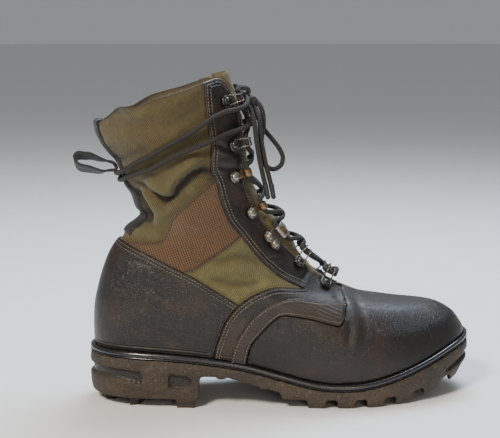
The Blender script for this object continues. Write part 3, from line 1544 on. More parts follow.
@dataclass
class Stitching:
    """Sewn rows along the panels' edges, each stitch a small rounded bar."""

    pitch: float = 2.4
    long: float = 1.8
    wide: float = 0.7

    def bar(self) -> tuple[Array, list]:
        """The points and faces of one stitch along X, made from a sphere."""
        quiet()
        bpy.ops.mesh.primitive_uv_sphere_add(segments=6, ring_count=4, radius=0.5)
        ball = bpy.context.object
        points = np.array([v.co for v in ball.data.vertices]) @ np.array([[0, 0, 1], [0, 1, 0], [-1, 0, 0]])
        faces = [tuple(p.vertices) for p in ball.data.polygons]
        bpy.data.objects.remove(ball)
        points[:, 0] = np.sign(points[:, 0]) * np.abs(2 * points[:, 0]) ** 0.6 / 2
        return points * np.array([self.long, self.wide, self.wide * 0.8]), faces

    def rows(self, side: Side) -> list[tuple[Array, float, bool]]:
        """The rows on one side.

        Args:
            side: The side.

        Returns:
            Each row's line in the side view, its height above the last, and whether it is pale.
        """
        top = 0.3 + 2.1
        rows = []
        for by in (1.7, 4.1):
            rows.append((grown(line("counter_top"), by, False), 0.3 + 1.5, True))
            rows.append((grown(line("saddle_edge")[20:], by, False), top, True))
            rows.append((grown(line("facing_back"), by, False), top, True))
            rows.append((grown(line("quarter_front")[30:], by, False), top, True))
        rows.append((grown(line("rib_edge"), -1.6, False), 0.6 + 2.1 + 1.3, True))
        rows.append((grown(line("vamp_edge"), 1.6, False), 0.6 + 2.1 + 1.3, True))
        rows.append((grown(line("ankle_top"), -1.6, False), 0.3 + 0.9, False))
        rows.append((grown(line("ankle_front"), -1.6, False), 0.3 + 0.9, False))
        for shift in (0.0, 2.6, 5.2):
            rows.append((np.array([[130.9, 75.0 + shift], [138, 76.2 + shift], [146.5, 77.6 + shift]]), top, True))
        return rows

    def build(self, finishes: Finishes) -> None:
        """Sew every row, as two pieces of each side."""
        bar, faces = self.bar()
        for side in Side:
            for pale in (True, False):
                points, made = [], []
                chosen = [(row, high) for row, high, light in self.rows(side) if light == pale]
                for row, high in chosen:
                    self.sew(row, high, side, bar, faces, points, made)
                if pale:
                    edge = LAST.throat_edge(side, 2.3)[6:]
                    self.follow(edge[:, 1], edge[:, 0], 2.4, bar, faces, points, made)
                name = f"{'pale' if pale else 'brown'}_stitches_{side.word}"
                piece = mesh_piece(name, np.concatenate(points), made)
                smooth(piece, 70)
                dress(piece, finishes["pale_thread" if pale else "brown_thread"])
        points, made = [], []
        u = np.linspace(8.6, 14.75, 200)
        for reach in (-10, 10):
            angle = math.pi + np.arcsin(reach / LAST.half_width(u, 0.97))
            self.follow(u, angle, 1.7, bar, faces, points, made)
        piece = mesh_piece("tape_stitches", np.concatenate(points), made)
        dress(smooth(piece, 70), finishes["brown_thread"])

    def sew(self, row: Array, high: float, side: Side, bar: Array, faces: list, points: list, made: list) -> None:
        """Sew one row that is drawn in the side view."""
        u, angle = LAST.locate(even(row, 0.5), side)
        self.follow(u, angle, high, bar, faces, points, made)

    def follow(self, u: Array, angle: Array, high: float, bar: Array, faces: list,
               points: list, made: list) -> None:
        """Place stitches along rings and angles.

        Args:
            u: The row's rings.
            angle: The row's angles.
            high: Its height above the last.
            bar: One stitch's points.
            faces: One stitch's faces.
            points: The list that gets the points of each stitch.
            made: The list that gets its faces.
        """
        turn = np.mod(angle + math.pi, 2 * math.pi) - math.pi
        good = (u > 0.4) & (u < 14.95) & (np.abs(turn) > 0.02) & (np.abs(turn) < math.pi - 0.002)
        good &= ~LAST.in_throat(u, turn)
        u, angle = u[good], angle[good]
        if len(u) < 3:
            return
        path = draped(u, angle, np.full(len(u), high))
        run = np.concatenate([[0], np.cumsum(np.linalg.norm(np.diff(path, axis=0), axis=1))])
        out = LAST.normal(u, angle)
        for at in np.arange(self.pitch / 2, run[-1] - self.pitch / 2, self.pitch):
            i = int(np.searchsorted(run, at))
            if run[i] - run[i - 1] > 3:
                continue
            middle = np.array([np.interp(at, run, path[:, k]) for k in range(3)])
            way = path[min(i + 1, len(path) - 1)] - path[max(i - 2, 0)]
            way = way / max(np.linalg.norm(way), 1e-9)
            up = out[i] - way * (out[i] @ way)
            up /= np.linalg.norm(up)
            turned = np.stack([way, np.cross(up, way), up])
            first = sum(len(p) for p in points)
            points.append(middle + bar @ turned)
            made += [tuple(n + first for n in f) for f in faces]


@dataclass
class Piping:
    """The pale bound edge round the facings, from the collar's back down the throat."""

    radius: float = 1.0

    def build(self, finishes: Finishes) -> None:
        """Bind both facings."""
        for side in Side:
            edge = LAST.throat_edge(side, 0.35)[8:]
            back, angle = LAST.locate(line("facing_back")[-40:], side)
            end = angle[back < 14.9][-1]
            top = np.linspace(edge[-1, 0], end, 60)
            turn = np.concatenate([edge[:, 0], top[1:]])
            ring = np.concatenate([edge[:, 1], np.linspace(edge[-1, 1], 14.985, 60)[1:]])
            path = draped(ring, turn, np.full(len(ring), 1.35))
            piece = tube(f"facing_piping_{side.word}", even(path, 2.0), self.radius, 10, 1.15)
            dress(piece, finishes["piping"])


@dataclass
class Tongue:
    """The tongue, which swells forward between the facings and stands above the collar."""

    wall: float = 2.2
    angle: float = math.radians(36)
    rows: tuple[Place, ...] = (
        (7, 0), (8, 0.051), (9, 0.106), (10, 0.227), (11, 0.098), (12, 0.059), (14, 0.051), (16, 0.051),
    )
    top: float = 15.09

    def build(self, finishes: Finishes) -> None:
        """Make the tongue."""
        u = np.linspace(7, self.top, 150)
        across = np.linspace(-1, 1, 61)
        rings, turn = np.meshgrid(u, across * self.angle, indexing="ij")
        swell = through([r[0] for r in self.rows], [r[1] for r in self.rows], rings) * LAST.ball / 2
        spread = 0.93 * LAST.gap_angle(np.minimum(rings, LAST.top_ring))
        share = np.clip(np.abs(turn) / spread, 0, 1)
        ripple = 0.35 * np.sin(rings * 8.3) * np.cos(turn * 9) + 0.25 * np.sin(rings * 17 + turn * 14)
        under = -2.4 - 1.5 * 0.3
        rim = smooth_step(self.top, self.top - 0.07, rings) * smooth_step(1, 0.93, np.abs(turn) / self.angle)
        outer = LAST.on(rings, turn, under + swell * (1 - share ** 4) + ripple * (1 - share ** 2) - 0.7 * (1 - rim))
        inner = LAST.on(rings, turn, under - self.wall + swell * (1 - share ** 4) + 0.7 * (1 - rim))
        tall, wide = rings.shape
        count = tall * wide
        faces = quads(tall, wide, False)
        made = faces + [tuple(reversed([n + count for n in f])) for f in faces]
        loop = [i for i in range(wide)] + [r * wide + wide - 1 for r in range(1, tall)]
        loop += [count - 1 - i for i in range(1, wide)] + [r * wide for r in range(tall - 2, 0, -1)]
        made += [(loop[(i + 1) % len(loop)], a, a + count, loop[(i + 1) % len(loop)] + count)
                 for i, a in enumerate(loop)]
        points = np.concatenate([outer.reshape(-1, 3), inner.reshape(-1, 3)])
        reach = turn * LAST.half_width(rings, 0.05)
        cloth = np.stack([reach, rings * 17, reach * 0], -1).reshape(-1, 3)
        edge = np.full(count * 2, 20.0)
        piece = mesh_piece("padded_tongue", points, made, {"weave": np.concatenate([cloth, cloth]), "edge": edge})
        outwards(piece)
        smooth(piece, 50)
        dress(piece, finishes["tongue_cloth"], ("tongue",))


@dataclass
class Sole:
    """The outsole with its grooves and lugs, the bead over it and the insole inside."""

    lug_depth: float = 7.2
    groove: float = 2.8
    breast: float = 39.5
    breast_step: float = 2.5
    heel_lug: float = 16
    arch_bar: float = 6
    lug_pitch: float = 23
    lug_length: float = 14
    lug_lean: float = 6
    badge: tuple[float, float, float, float, float, float] = (5, 23.5, 21, 18, 0.7, 3)
    columns: int = 160
    voxel: float = 1.15
    side_rows: tuple[Place, ...] = ((0, 2), (0.34, 5.3), (0.85, 5.6), (1, 4.9))
    heel_groove: tuple[Place, ...] = (
        (-0.8, 0.5), (0.06, 0.51), (0.11, 0.43), (0.225, 0.345), (0.242, 0.385), (0.25, 0.48),
        (0.242, 0.56), (0.225, 0.6), (0.138, 0.64), (0.054, 0.675), (-0.8, 0.69),
    )
    toe_groove: tuple[Place, ...] = (
        (0.907, 0.43), (0.945, 0.6), (0.99, 0.73), (1.1, 0.8), (1.1, 0.62), (0.99, 0.62), (0.945, 0.5),
    )
    under_rows: tuple[Place, ...] = ((0.305, 0.57), (0.333, 0.575), (0.42, 0.39), (0.475, 0.295))

    def body(self, name: str, margin: float) -> bpy.types.Object:
        """The sole without its cuts, moved out all round by a margin."""
        angle = np.arange(self.columns) / self.columns * 2 * math.pi
        highs = np.array([0, 0.12, 0.24, 0.34, 0.5, 0.68, 0.85, 0.93, 1])
        outs = through([r[0] for r in self.side_rows], [r[1] for r in self.side_rows], highs)
        points = []
        for high, out in zip(highs, outs):
            ring = LAST.footprint(angle, np.full(len(angle), out + margin))
            top = LAST.seat(ring[:, 0]) - LAST.welt - 0.3
            low = LAST.ground(ring[:, 0])
            ring[:, 2] = low + (top - low) * high
            points.append(ring)
        faces = quads(len(highs), self.columns, True)
        top = (len(highs) - 1) * self.columns
        for i in range(self.columns // 2):
            over, after = (self.columns - i) % self.columns, self.columns - i - 1
            for foot, flip in ((0, True), (top, False)):
                corners = [foot + i, foot + i + 1, foot + after, foot + over]
                corners = list(dict.fromkeys(corners))
                faces.append(tuple(reversed(corners)) if flip else tuple(corners))
        return outwards(mesh_piece(name, np.concatenate(points), faces))

    def under(self) -> bpy.types.Object:
        """What is cut away between the lugs and under the arch."""
        seat, far = LAST.heel_seat, LAST.length
        shape = [(-far, self.lug_depth), (self.breast - self.breast_step / 2, self.lug_depth)]
        shape += [(self.breast, self.under_rows[0][1] * seat)]
        shape += [(float(LAST.along(a)), h * seat) for a, h in self.under_rows]
        shape += [(float(LAST.along(0.484)), self.lug_depth)]
        for x in np.linspace(LAST.along(0.742), LAST.along(1.08), 9):
            share = (x - LAST.along(0.742)) / (LAST.along(1.08) - LAST.along(0.742))
            shape.append((float(x), float(LAST.ground(np.array(x))) + self.lug_depth * (1 - 0.12 * share)))
        shape += [(float(LAST.along(1.08)), -60), (-far, -60)]
        return prism("under_cut", shape, -90, 90)

    def lugs(self) -> bpy.types.Object:
        """Posts through the sole where the lugs and the arch's bars are."""
        inner, edge, half = -0.32 * LAST.ball / 2, -90.0, 0.2 * LAST.ball / 2
        plan: list[list[Place]] = []

        def both(shape: list[Place]) -> None:
            """Add a post and its mirror."""
            plan.append(shape)
            plan.append([(x, -y) for x, y in reversed(shape)])

        def placed(*shape: Place) -> list[Place]:
            """Places in hundredths of the foot's length and of the ball's width."""
            return [(float(LAST.along(a / 100)), b / 100 * LAST.ball) for a, b in shape]

        front = self.breast - self.breast_step
        both([(front - self.heel_lug, edge), (front, edge), (front - 1.6, inner), (front - self.heel_lug, inner)])
        both(placed((8.7, -28.4), (11.4, -25.5), (12.8, -16), (9.1, -16)))
        plan.append(placed((2, -8.8), (5, -11.8), (6.4, 0), (5, 11.8), (2, 8.8), (1.3, 0)))
        plan.append(placed((11.4, -7.8), (16.1, -7.8), (17.1, 0), (16.1, 7.8), (11.4, 7.8), (10.4, 0)))
        first, long, lean = float(LAST.along(0.537)), self.lug_length, self.lug_lean
        for x in np.arange(first, LAST.along(0.97), self.lug_pitch):
            both([(x, edge), (x + long, edge), (x + long + lean, inner), (x + lean, inner)])
        for x in np.arange(first, LAST.along(0.93) - 0.5 * self.lug_pitch, self.lug_pitch):
            x, tip = x + 0.75 * self.lug_pitch, lean / 2
            plan.append([(x, -half), (x + long, -half), (x + long + tip, 0), (x + long, half), (x, half), (x - tip, 0)])
        posts = [prism(f"lug_post_{i}", shape, -60, 60, plan=True) for i, shape in enumerate(plan)]
        for along, drop in ((0.315, 0.525), (0.425, 0.345)):
            x, foot, head = float(LAST.along(along)), drop * LAST.heel_seat, 0.66 * LAST.heel_seat
            bar = [(x, head), (x, foot), (x + self.arch_bar, foot), (x + self.arch_bar, head)]
            posts.append(prism(f"arch_bar_{len(posts)}", bar, -90, 90))
        return join("lug_posts", posts)

    def grooves(self) -> bpy.types.Object:
        """The grooves in the heel's and the toe's sides."""
        bars = []
        for shape in (self.heel_groove, self.toe_groove):
            corners = [(float(LAST.along(a)), h * LAST.heel_seat) for a, h in shape]
            bars.append(prism("groove_bar", corners, -90, 90))
        return combine(join("grooves", bars), self.body("groove_core", -self.groove), "DIFFERENCE")

    def pad(self) -> bpy.types.Object:
        """The bare raised pad on the heel's outer side."""
        x, z, wide, tall, proud, cut = self.badge
        left, right, foot, head = x - wide / 2, x + wide / 2, z - tall / 2, z + tall / 2
        shape = [(left, foot + cut), (left + cut, foot), (right - cut, foot), (right, foot + cut),
                 (right, head - cut), (right - cut, head), (left + cut, head), (left, head - cut)]
        return combine(prism("pad", shape, -90, -20), self.body("pad_skin", proud), "INTERSECT")

    def build(self, finishes: Finishes) -> None:
        """Cut the sole, round its edges, and lay the bead and the insole."""
        sole = self.body("tread_sole", 0)
        combine(sole, self.under(), "DIFFERENCE")
        lugs = combine(self.lugs(), self.body("lug_skin", 0), "INTERSECT")
        combine(sole, lugs, "UNION")
        combine(sole, self.grooves(), "DIFFERENCE")
        combine(sole, self.pad(), "UNION")
        apply(sole, "REMESH", mode="VOXEL", voxel_size=self.voxel * MM, adaptivity=0)
        apply(sole, "SMOOTH", factor=0.5, iterations=4)
        self.mark(sole)
        smooth(sole, 60)
        dress(sole, finishes["sole_rubber"], ("outsole",))
        self.bead(finishes)
        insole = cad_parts["insole"]
        insole.data.materials.clear()
        insole.data.materials.append(finishes["insole_foam"])

    def mark(self, sole: bpy.types.Object) -> None:
        """Carry with each point how far it is from the hollows of the sole's side and tread."""
        mesh = sole.data
        points = np.array([v.co for v in mesh.vertices]) / MM
        around = np.linspace(0, 2 * math.pi, 721)
        skin = LAST.footprint(around, np.full(721, 5.4))
        tree = KDTree(721)
        for i, place in enumerate(skin):
            tree.insert((place[0], place[1], 0), i)
        tree.balance()
        away = np.array([tree.find((p[0], p[1], 0))[2] for p in points])
        side = 1 - smooth_step(0.9, 2.4, away)
        ground = points[:, 2] - LAST.ground(points[:, 0])
        tread = 1 - smooth_step(1.0, 4.5, ground)
        proud = np.clip(np.maximum(side, tread), 0.12, 1)
        mesh.attributes.new("proud", "FLOAT", "POINT").data.foreach_set("value", proud.astype(np.float32))

    def bead(self, finishes: Finishes) -> None:
        """The rounded bead with a thin lip under it, all round the boot."""
        section = np.array([
            (0, 0), (0.8, 0), (0.98, 0.06), (1.03, 0.14), (0.98, 0.22), (0.88, 0.27), (0.97, 0.34), (1.03, 0.48),
            (1.03, 0.62), (0.96, 0.8), (0.82, 0.93), (0.62, 1.01), (0.4, 1.02), (0.18, 0.99), (0, 0.98),
        ])
        count = 300
        angle = np.arange(count) / count * 2 * math.pi
        points = []
        for out, high in section:
            lean = 0.22 * LAST.welt * high
            margin = np.full(count, 0.3 + lean + out * (LAST.welt - lean))
            ring = LAST.footprint(angle, margin)
            ring[:, 2] = LAST.seat(ring[:, 0]) - LAST.welt + high * LAST.welt
            points.append(ring)
        rows = len(section)
        faces = quads(rows, count, True)
        top = (rows - 1) * count
        faces += [(top + i, top + (i + 1) % count, (i + 1) % count, i) for i in range(count)]
        piece = outwards(mesh_piece("bead", np.concatenate(points), faces))
        smooth(piece, 50)
        dress(piece, finishes["bead"], ("welt",))


@dataclass
class Cords:
    """The laces: two wraps round the shaft, a half bow, two ends and the crossings."""

    width: float = 3.8
    routes: dict[str, tuple[Point, ...]] = field(default_factory=lambda: {
        "lace_wrap_outer": (
            (70, 18.7, 243.9), (71.1, 16.2, 246), (74.5, 7, 244.5), (75.2, -2, 242), (77.4, -12, 239.2),
            (78.2, -20, 236.4), (76, -26.6, 233.2), (70.5, -31.6, 231), (61.5, -36, 229.4), (51.4, -40, 225.4),
            (40.7, -44.5, 218.8), (29.4, -46.2, 211.6), (16.9, -46, 205.1), (4.9, -42.5, 198.1),
            (-5.6, -35.3, 191.9), (-15.8, -21.8, 184.6), (-20.8, -11.5, 181.3), (-22.8, -0.7, 179.9),
            (-23, 7, 178.8), (-19, 18, 177), (-12, 23.4, 177.6), (-4.9, 28.9, 183), (4.8, 36.2, 187.4),
            (14.8, 40.5, 193.4), (24.7, 42, 198.6), (36.3, 41.6, 203), (48.5, 37.9, 207.5), (61.3, 30, 212.6),
            (70, 25, 215.2), (77, 20, 217.4), (82.6, 12, 220), (84.9, 4.5, 223), (83.6, 0.8, 228),
            (81, -2.3, 231.5),
        ),
        "lace_wrap_inner": (
            (70, -23.9, 243.9), (71.1, -21.4, 246), (75, -14, 246), (79.3, -6.5, 244.8), (80.4, -2, 242.8),
            (80.2, 7, 239.8), (78.4, 15, 236.4), (76, 21.6, 233.2), (70.5, 26.4, 231), (61.5, 30.8, 229.4),
            (51.5, 34.8, 225.4), (40.8, 39.6, 218.8), (29.5, 41.8, 211.6), (17, 42.3, 205.1), (5, 39.4, 198.1),
            (-5.5, 32.9, 191.9), (-11.4, 22.8, 182.5), (-17, 12.5, 177.6), (-20.4, -0.8, 174.9),
            (-17.6, -13, 176.2), (-14.1, -19.9, 178.6), (-5, -31.4, 183.1), (4.7, -39.3, 187.4),
            (14.6, -44.2, 193.4), (24.6, -46.2, 198.6), (36.1, -46.4, 203), (48.5, -43, 207.5),
            (61.3, -35.2, 212.6), (70, -29.6, 214.8), (77.2, -24.6, 217.1), (82.2, -18, 220),
            (84.4, -11.5, 223.4), (83, -9, 226.4), (81.1, -8.5, 229),
        ),
        "lace_bow": (
            (86, -10.3, 235), (88.6, -11.7, 232), (90.6, -13, 226), (91, -14, 216.5), (89.7, -14.3, 208.8),
            (89.2, -14, 201), (90, -13.5, 192.5), (93, -12.5, 185.8), (99, -10.5, 182.5), (105, -8.5, 185.2),
            (107, -7, 191), (104.7, -6, 197.5), (98.8, -5.8, 205.5), (93, -5.8, 212.5), (89, -5.6, 219.5),
            (87, -5.7, 226.5), (84.6, -6.4, 231.1),
        ),
        "lace_end_1": (
            (79, -13.3, 232.8), (80.3, -17.8, 230.3), (82.2, -22.4, 224), (83.6, -24.2, 216), (84.4, -24.8, 208),
            (85.6, -25, 200), (87.6, -25, 188.5), (90, -24.5, 178), (92.4, -23.6, 168), (93.8, -22.9, 161.5),
        ),
        "lace_end_2": (
            (83, -12, 231.7), (85.5, -16, 227.5), (87.5, -19.4, 221), (88.1, -20.5, 214), (88.6, -20.9, 206),
            (89.8, -21.1, 199), (91.9, -21.5, 188.5), (94.6, -21.9, 178), (97, -22, 168), (98.3, -21.7, 161.5),
        ),
    })
    lengths: dict[str, float] = field(default_factory=lambda: {
        "lace_wrap_outer": 0.358, "lace_wrap_inner": 0.352, "lace_bow": 0.12, "lace_end_1": 0.077,
        "lace_end_2": 0.075,
    })
    knot: Point = (80.6, -8, 234.3)

    def build(self, finishes: Finishes) -> None:
        """Make the free laces, their tips and the knot, and declare each."""
        knot = self.tie(finishes)
        for name, route in self.routes.items():
            path = catmull(np.array(route), 1.1)
            piece = tube(f"{name}_cord", path, self.width / 2, 12)
            dress(piece, finishes["lace_braid"], (name,))
            pieces = [knot] if name == "lace_wrap_outer" else []
            if name.startswith("lace_end"):
                pieces.append(self.tip(f"{name}_tip", path, finishes))

    def tip(self, name: str, path: Array, finishes: Finishes) -> bpy.types.Object:
        """The hard tip on a lace's end."""
        way = path[-1] - path[-4]
        way /= np.linalg.norm(way)
        start = path[-1] - way * 11
        run = np.array([start + way * t for t in (0, 0.5, 1, 9, 10.8, 11.4, 11.8)])
        radius = np.array([1.9, 2.05, 2.05, 1.95, 1.8, 1.4, 0.8])
        piece = tube(name, run, radius, 14)
        return dress(piece, finishes["lace_tip"])

    def tie(self, finishes: Finishes) -> bpy.types.Object:
        """The knot: turns of lace round the crossing, drawn tight."""
        middle = np.array(self.knot)
        turns = [
            [(-4.6, 0.5, -2.6), (-2.4, -4.2, -1.6), (1.4, -4.9, 0.6), (4.3, -2.2, 2.0), (4.2, 2.0, 1.6),
             (1.2, 4.3, -0.4), (-2.6, 3.4, -2.4)],
            [(0.6, -3.6, -4.6), (2.6, -4.4, -1.4), (2.4, -3.2, 2.6), (0.2, 0.2, 4.4), (-2.2, 3.2, 2.6),
             (-2.4, 3.6, -1.4), (-0.6, 1.4, -4.2)],
            [(-3.6, -3.6, 2.4), (-0.4, -4.8, 3.0), (2.8, -3.4, 3.4), (4.6, -0.6, 1.0), (5.0, 1.0, -2.4)],
        ]
        pieces = [tube(f"knot_turn_{i}", catmull(middle + np.array(turn), 0.9), self.width / 2, 12)
                  for i, turn in enumerate(turns)]
        return dress(join("knot_turns", pieces), finishes["lace_braid"], ("lace_knot",))


@dataclass(frozen=True)
class Level:
    """One pair of fittings: its name, its place on the facing, its stand and the lace's lift."""

    name: str
    place: Place
    stand: float
    lift: float


@dataclass
class Fittings:
    """The riveted loops and locks on the facings, and the lace that runs through them."""

    levels: tuple[Level, ...] = (
        Level("1", (33.6, 91.9), 0.56, 1.16), Level("2", (35.5, 79.2), 0.56, 1.16),
        Level("3", (35.7, 69.7), 0.56, 1.53), Level("4", (40.1, 58.4), 0.89, 3.03),
        Level("lock", (45.5, 49.5), 1.12, 2.29), Level("6", (53, 42.1), 1.12, 1.16),
        Level("7", (60.2, 35.1), 1.56, 0),
    )
    plate: float = 0.9
    plate_radius: float = 4.8
    rivet_radius: float = 3.2
    tab_reach: float = 11
    tab_width: float = 5.4
    eye_bore: float = 4.8
    eye_wall: float = 0.8
    lace: float = 3.8

    @property
    def eye_height(self) -> float:
        """How high the lace's middle runs over the facing."""
        return self.eye_bore / 2 + self.eye_wall + 0.4

    def frame_of(self, level: Level, side: Side) -> tuple[Array, Array, Array, Array]:
        """Find the frame of a fitting.

        Args:
            level: The pair of fittings.
            side: The side.

        Returns:
            Its origin, and its directions towards the throat, along the facing and outwards.
        """
        ring, angle = LAST.locate(drawn((level.place,)), side)
        u, turn = float(ring[0]), float(angle[0])
        out = LAST.normal(np.array(u), np.array(turn))
        along = LAST.at(u + 0.05, turn) - LAST.at(u - 0.05, turn)
        along /= np.linalg.norm(along)
        inward = -side.value * np.cross(along, out)
        inward /= np.linalg.norm(inward)
        origin = LAST.on(np.array(u), np.array(turn), np.array(0.3 + 2.1 + 0.3 + level.stand * self.plate))
        return origin, inward, along, out

    def eye(self, level: Level, side: Side) -> tuple[Array, Array]:
        """The middle of a fitting's eye, and the lace's direction there."""
        origin, inward, along, out = self.frame_of(level, side)
        return origin + inward * self.tab_reach + out * self.eye_height, along

    def dome(self, name: str, x: float, y: float, ring: float) -> bpy.types.Object:
        """A rivet's dome in its pressed ring, from a sphere and a torus."""
        quiet()
        bpy.ops.mesh.primitive_uv_sphere_add(segments=24, ring_count=12, radius=self.rivet_radius * MM)
        ball = bpy.context.object
        bpy.ops.object.mode_set(mode="EDIT")
        bpy.ops.mesh.select_all(action="SELECT")
        bpy.ops.mesh.bisect(plane_co=(0, 0, 0), plane_no=(0, 0, -1), clear_outer=True, use_fill=True)
        bpy.ops.mesh.select_all(action="SELECT")
        bpy.ops.transform.resize(value=(1, 1, 0.56))
        bpy.ops.transform.translate(value=(x * MM, y * MM, (self.plate - 0.15) * MM))
        bpy.ops.object.mode_set(mode="OBJECT")
        bpy.ops.object.select_all(action="DESELECT")
        place = (x * MM, y * MM, self.plate * MM)
        bpy.ops.mesh.primitive_torus_add(major_segments=28, minor_segments=8, location=place,
                                         major_radius=ring * MM, minor_radius=0.5 * MM)
        bpy.ops.object.transform_apply(location=True, rotation=True, scale=True)
        return join(name, [ball, bpy.context.object])

    def disc(self, name: str, centres: list[Place], radius: float) -> bpy.types.Object:
        """A thin plate of one or two joined discs, with rolled edges."""
        discs = []
        for x, y in centres:
            quiet()
            place = (x * MM, y * MM, self.plate / 2 * MM)
            bpy.ops.mesh.primitive_cylinder_add(vertices=32, radius=radius * MM, depth=self.plate * MM,
                                                location=place)
            bpy.ops.object.transform_apply(location=True, rotation=True, scale=True)
            discs.append(bpy.context.object)
        piece = discs[0]
        for other in discs[1:]:
            combine(piece, other, "UNION")
        apply(piece, "BEVEL", width=0.28 * MM, segments=2, limit_method="ANGLE")
        piece.name = name
        return piece

    def wire(self) -> bpy.types.Object:
        """The wire bail of a loop, which arches over the lace."""
        half = self.tab_width / 2
        near = [(0.6, half + 1.2, 1.0), (4.6, half + 0.7, 1.5), (7.6, half + 0.2, 4.4), (10.2, half, 7.0),
                (12.8, half - 0.3, 6.4), (14.4, half - 1.1, 4.2), (14.9, 0, 3.4)]
        far = [(x, -y, z) for x, y, z in reversed(near[:-1])]
        return tube("bail", catmull(np.array(near + far), 0.9), 0.62, 8)

    def strip(self, name: str, profile: list[Place], half: float, thick: float) -> bpy.types.Object:
        """A bent strip of sheet metal.

        Args:
            name: The piece's name.
            profile: Its middle line, towards the throat and outwards.
            half: Half its width.
            thick: Its thickness.

        Returns:
            The strip, with rounded edges.
        """
        run = catmull(np.array(profile, float), 0.7)
        points = [(x, y, z) for x, z in run for y in (-half, 0, half)]
        piece = mesh_piece(name, np.array(points), quads(len(run), 3, False))
        apply(piece, "SOLIDIFY", thickness=thick * MM, offset=0)
        outwards(piece)
        return apply(piece, "BEVEL", width=0.2 * MM, segments=2, limit_method="ANGLE", angle_limit=math.radians(50))

    def loop(self, kind: str, finishes: Finishes) -> bpy.types.Object:
        """One riveted loop in its own frame: a wire bail, or a folded tab with a rolled eye."""
        dark = kind == "wire"
        dome = self.dome("rivet", 0, 0, self.rivet_radius + 0.5)
        dome.data.materials.append(finishes["dark_metal" if dark else "bright_metal"])
        plate = self.disc("rivet_plate", [(0, 0)], self.plate_radius)
        plate.data.materials.append(finishes["dark_metal"])
        if dark:
            reach = self.wire()
            reach.data.materials.append(finishes["wire_metal"])
        else:
            high, radius, x = self.eye_height, self.eye_bore / 2 + self.eye_wall / 2, self.tab_reach
            curl = [(x + radius * math.sin(a), high - radius * math.cos(a)) for a in np.linspace(-0.5, 4.9, 12)]
            reach = self.strip("tab", [(1.0, 0.5), (4.0, 0.5), (7.0, 0.62)] + curl, self.tab_width / 2, self.eye_wall)
            reach.data.materials.append(finishes["bronze_metal"])
        return join(f"{kind}_loop", [dome, plate, reach])

    def lock(self, finishes: Finishes) -> bpy.types.Object:
        """The lock in its own frame: two rivets, and a folded jaw over the lace."""
        spread = self.rivet_radius + 0.5
        parts = []
        for y in (-spread, spread):
            dome = self.dome("lock_rivet", 0, y, self.rivet_radius + 0.45)
            dome.data.materials.append(finishes["bright_metal"])
            parts.append(dome)
        plate = self.disc("lock_plate", [(0, -spread), (0, spread)], self.plate_radius)
        plate.data.materials.append(finishes["bronze_metal"])
        high, x = 2 * self.eye_height, self.tab_reach
        jaw = [(2, 0.6), (6, 0.7), (x - 2, 0.8), (x + 2.4, 1.0), (x + 4.0, 2.6), (x + 4.1, 5.0),
               (x + 2.6, high - 0.8), (x - 0.6, high - 0.3), (x - 3.4, high - 0.9), (x - 4.2, high - 2.6)]
        shell = self.strip("jaw", jaw, self.tab_width, 0.9)
        shell.data.materials.append(finishes["bright_metal"])
        teeth = self.strip("jaw_teeth", [(x - 2.2, high + 0.35), (x - 0.4, high + 0.5), (x + 1.2, high + 0.2)],
                           self.tab_width - 1.8, 0.5)
        teeth.data.materials.append(finishes["bronze_metal"])
        return join("lock", parts + [plate, shell, teeth])

    def place(self, pattern: bpy.types.Object, name: str, node: str, level: Level, side: Side) -> None:
        """Copy a fitting to its place.

        Args:
            pattern: The fitting in its own frame.
            name: The copy's name.
            node: The node that it stands for.
            level: The pair that it belongs to.
            side: The side.
        """
        origin, inward, along, out = self.frame_of(level, side)
        turn = 1 if side is Side.LATERAL else -1
        matrix = Matrix.Identity(4)
        for k, column in enumerate((inward, along * turn, out, origin * MM)):
            for row in range(3):
                matrix[row][k] = column[row]
        piece = bpy.data.objects.new(name, pattern.data.copy())
        bpy.context.scene.collection.objects.link(piece)
        piece.data.transform(matrix)
        if matrix.determinant() < 0:
            piece.data.flip_normals()
        smooth(piece, 45)
        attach(piece, "root")
        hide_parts(node)
        log.info("%s placed", name)

    def run(self, start: Side) -> Array:
        """One run of lace from the lowest eye to the highest, changing side at each level."""
        points, side = [], start
        for i in range(len(self.levels) - 1, -1, -1):
            level = self.levels[i]
            centre, along = self.eye(level, side)
            reach = self.straight(level)
            low = self.tab_width / 2 + self.lace / 2 + 0.3 + self.lace / 3
            points.append(centre - along * (low if i == len(self.levels) - 1 else reach))
            points.append(centre + along * (self.tab_width / 2 + 0.3 if i == 0 else reach))
            other = Side(-side.value)
            if i > 0:
                above = self.levels[i - 1]
                begin = points[-1]
                middle, way = self.eye(above, other)
                end = middle - way * self.straight(above)
                rings = [float(LAST.locate(drawn((lv.place,)), side)[0][0]) for lv in (level, above)]
                peak = LAST.on(np.array(sum(rings) / 2), np.array(0.0), np.array(2 * above.lift * self.lace))
                for t in (0.25, 0.5, 0.75):
                    points.append(begin * (1 - t) ** 2 + peak * 2 * t * (1 - t) + end * t ** 2)
            side = other
        return np.array(points)

    def straight(self, level: Level) -> float:
        """How far the lace runs straight to each side of the middle of a fitting."""
        if level.name == "lock":
            return self.tab_width + 0.7 * self.lace
        return self.tab_width / 2 + 0.53 * self.lace

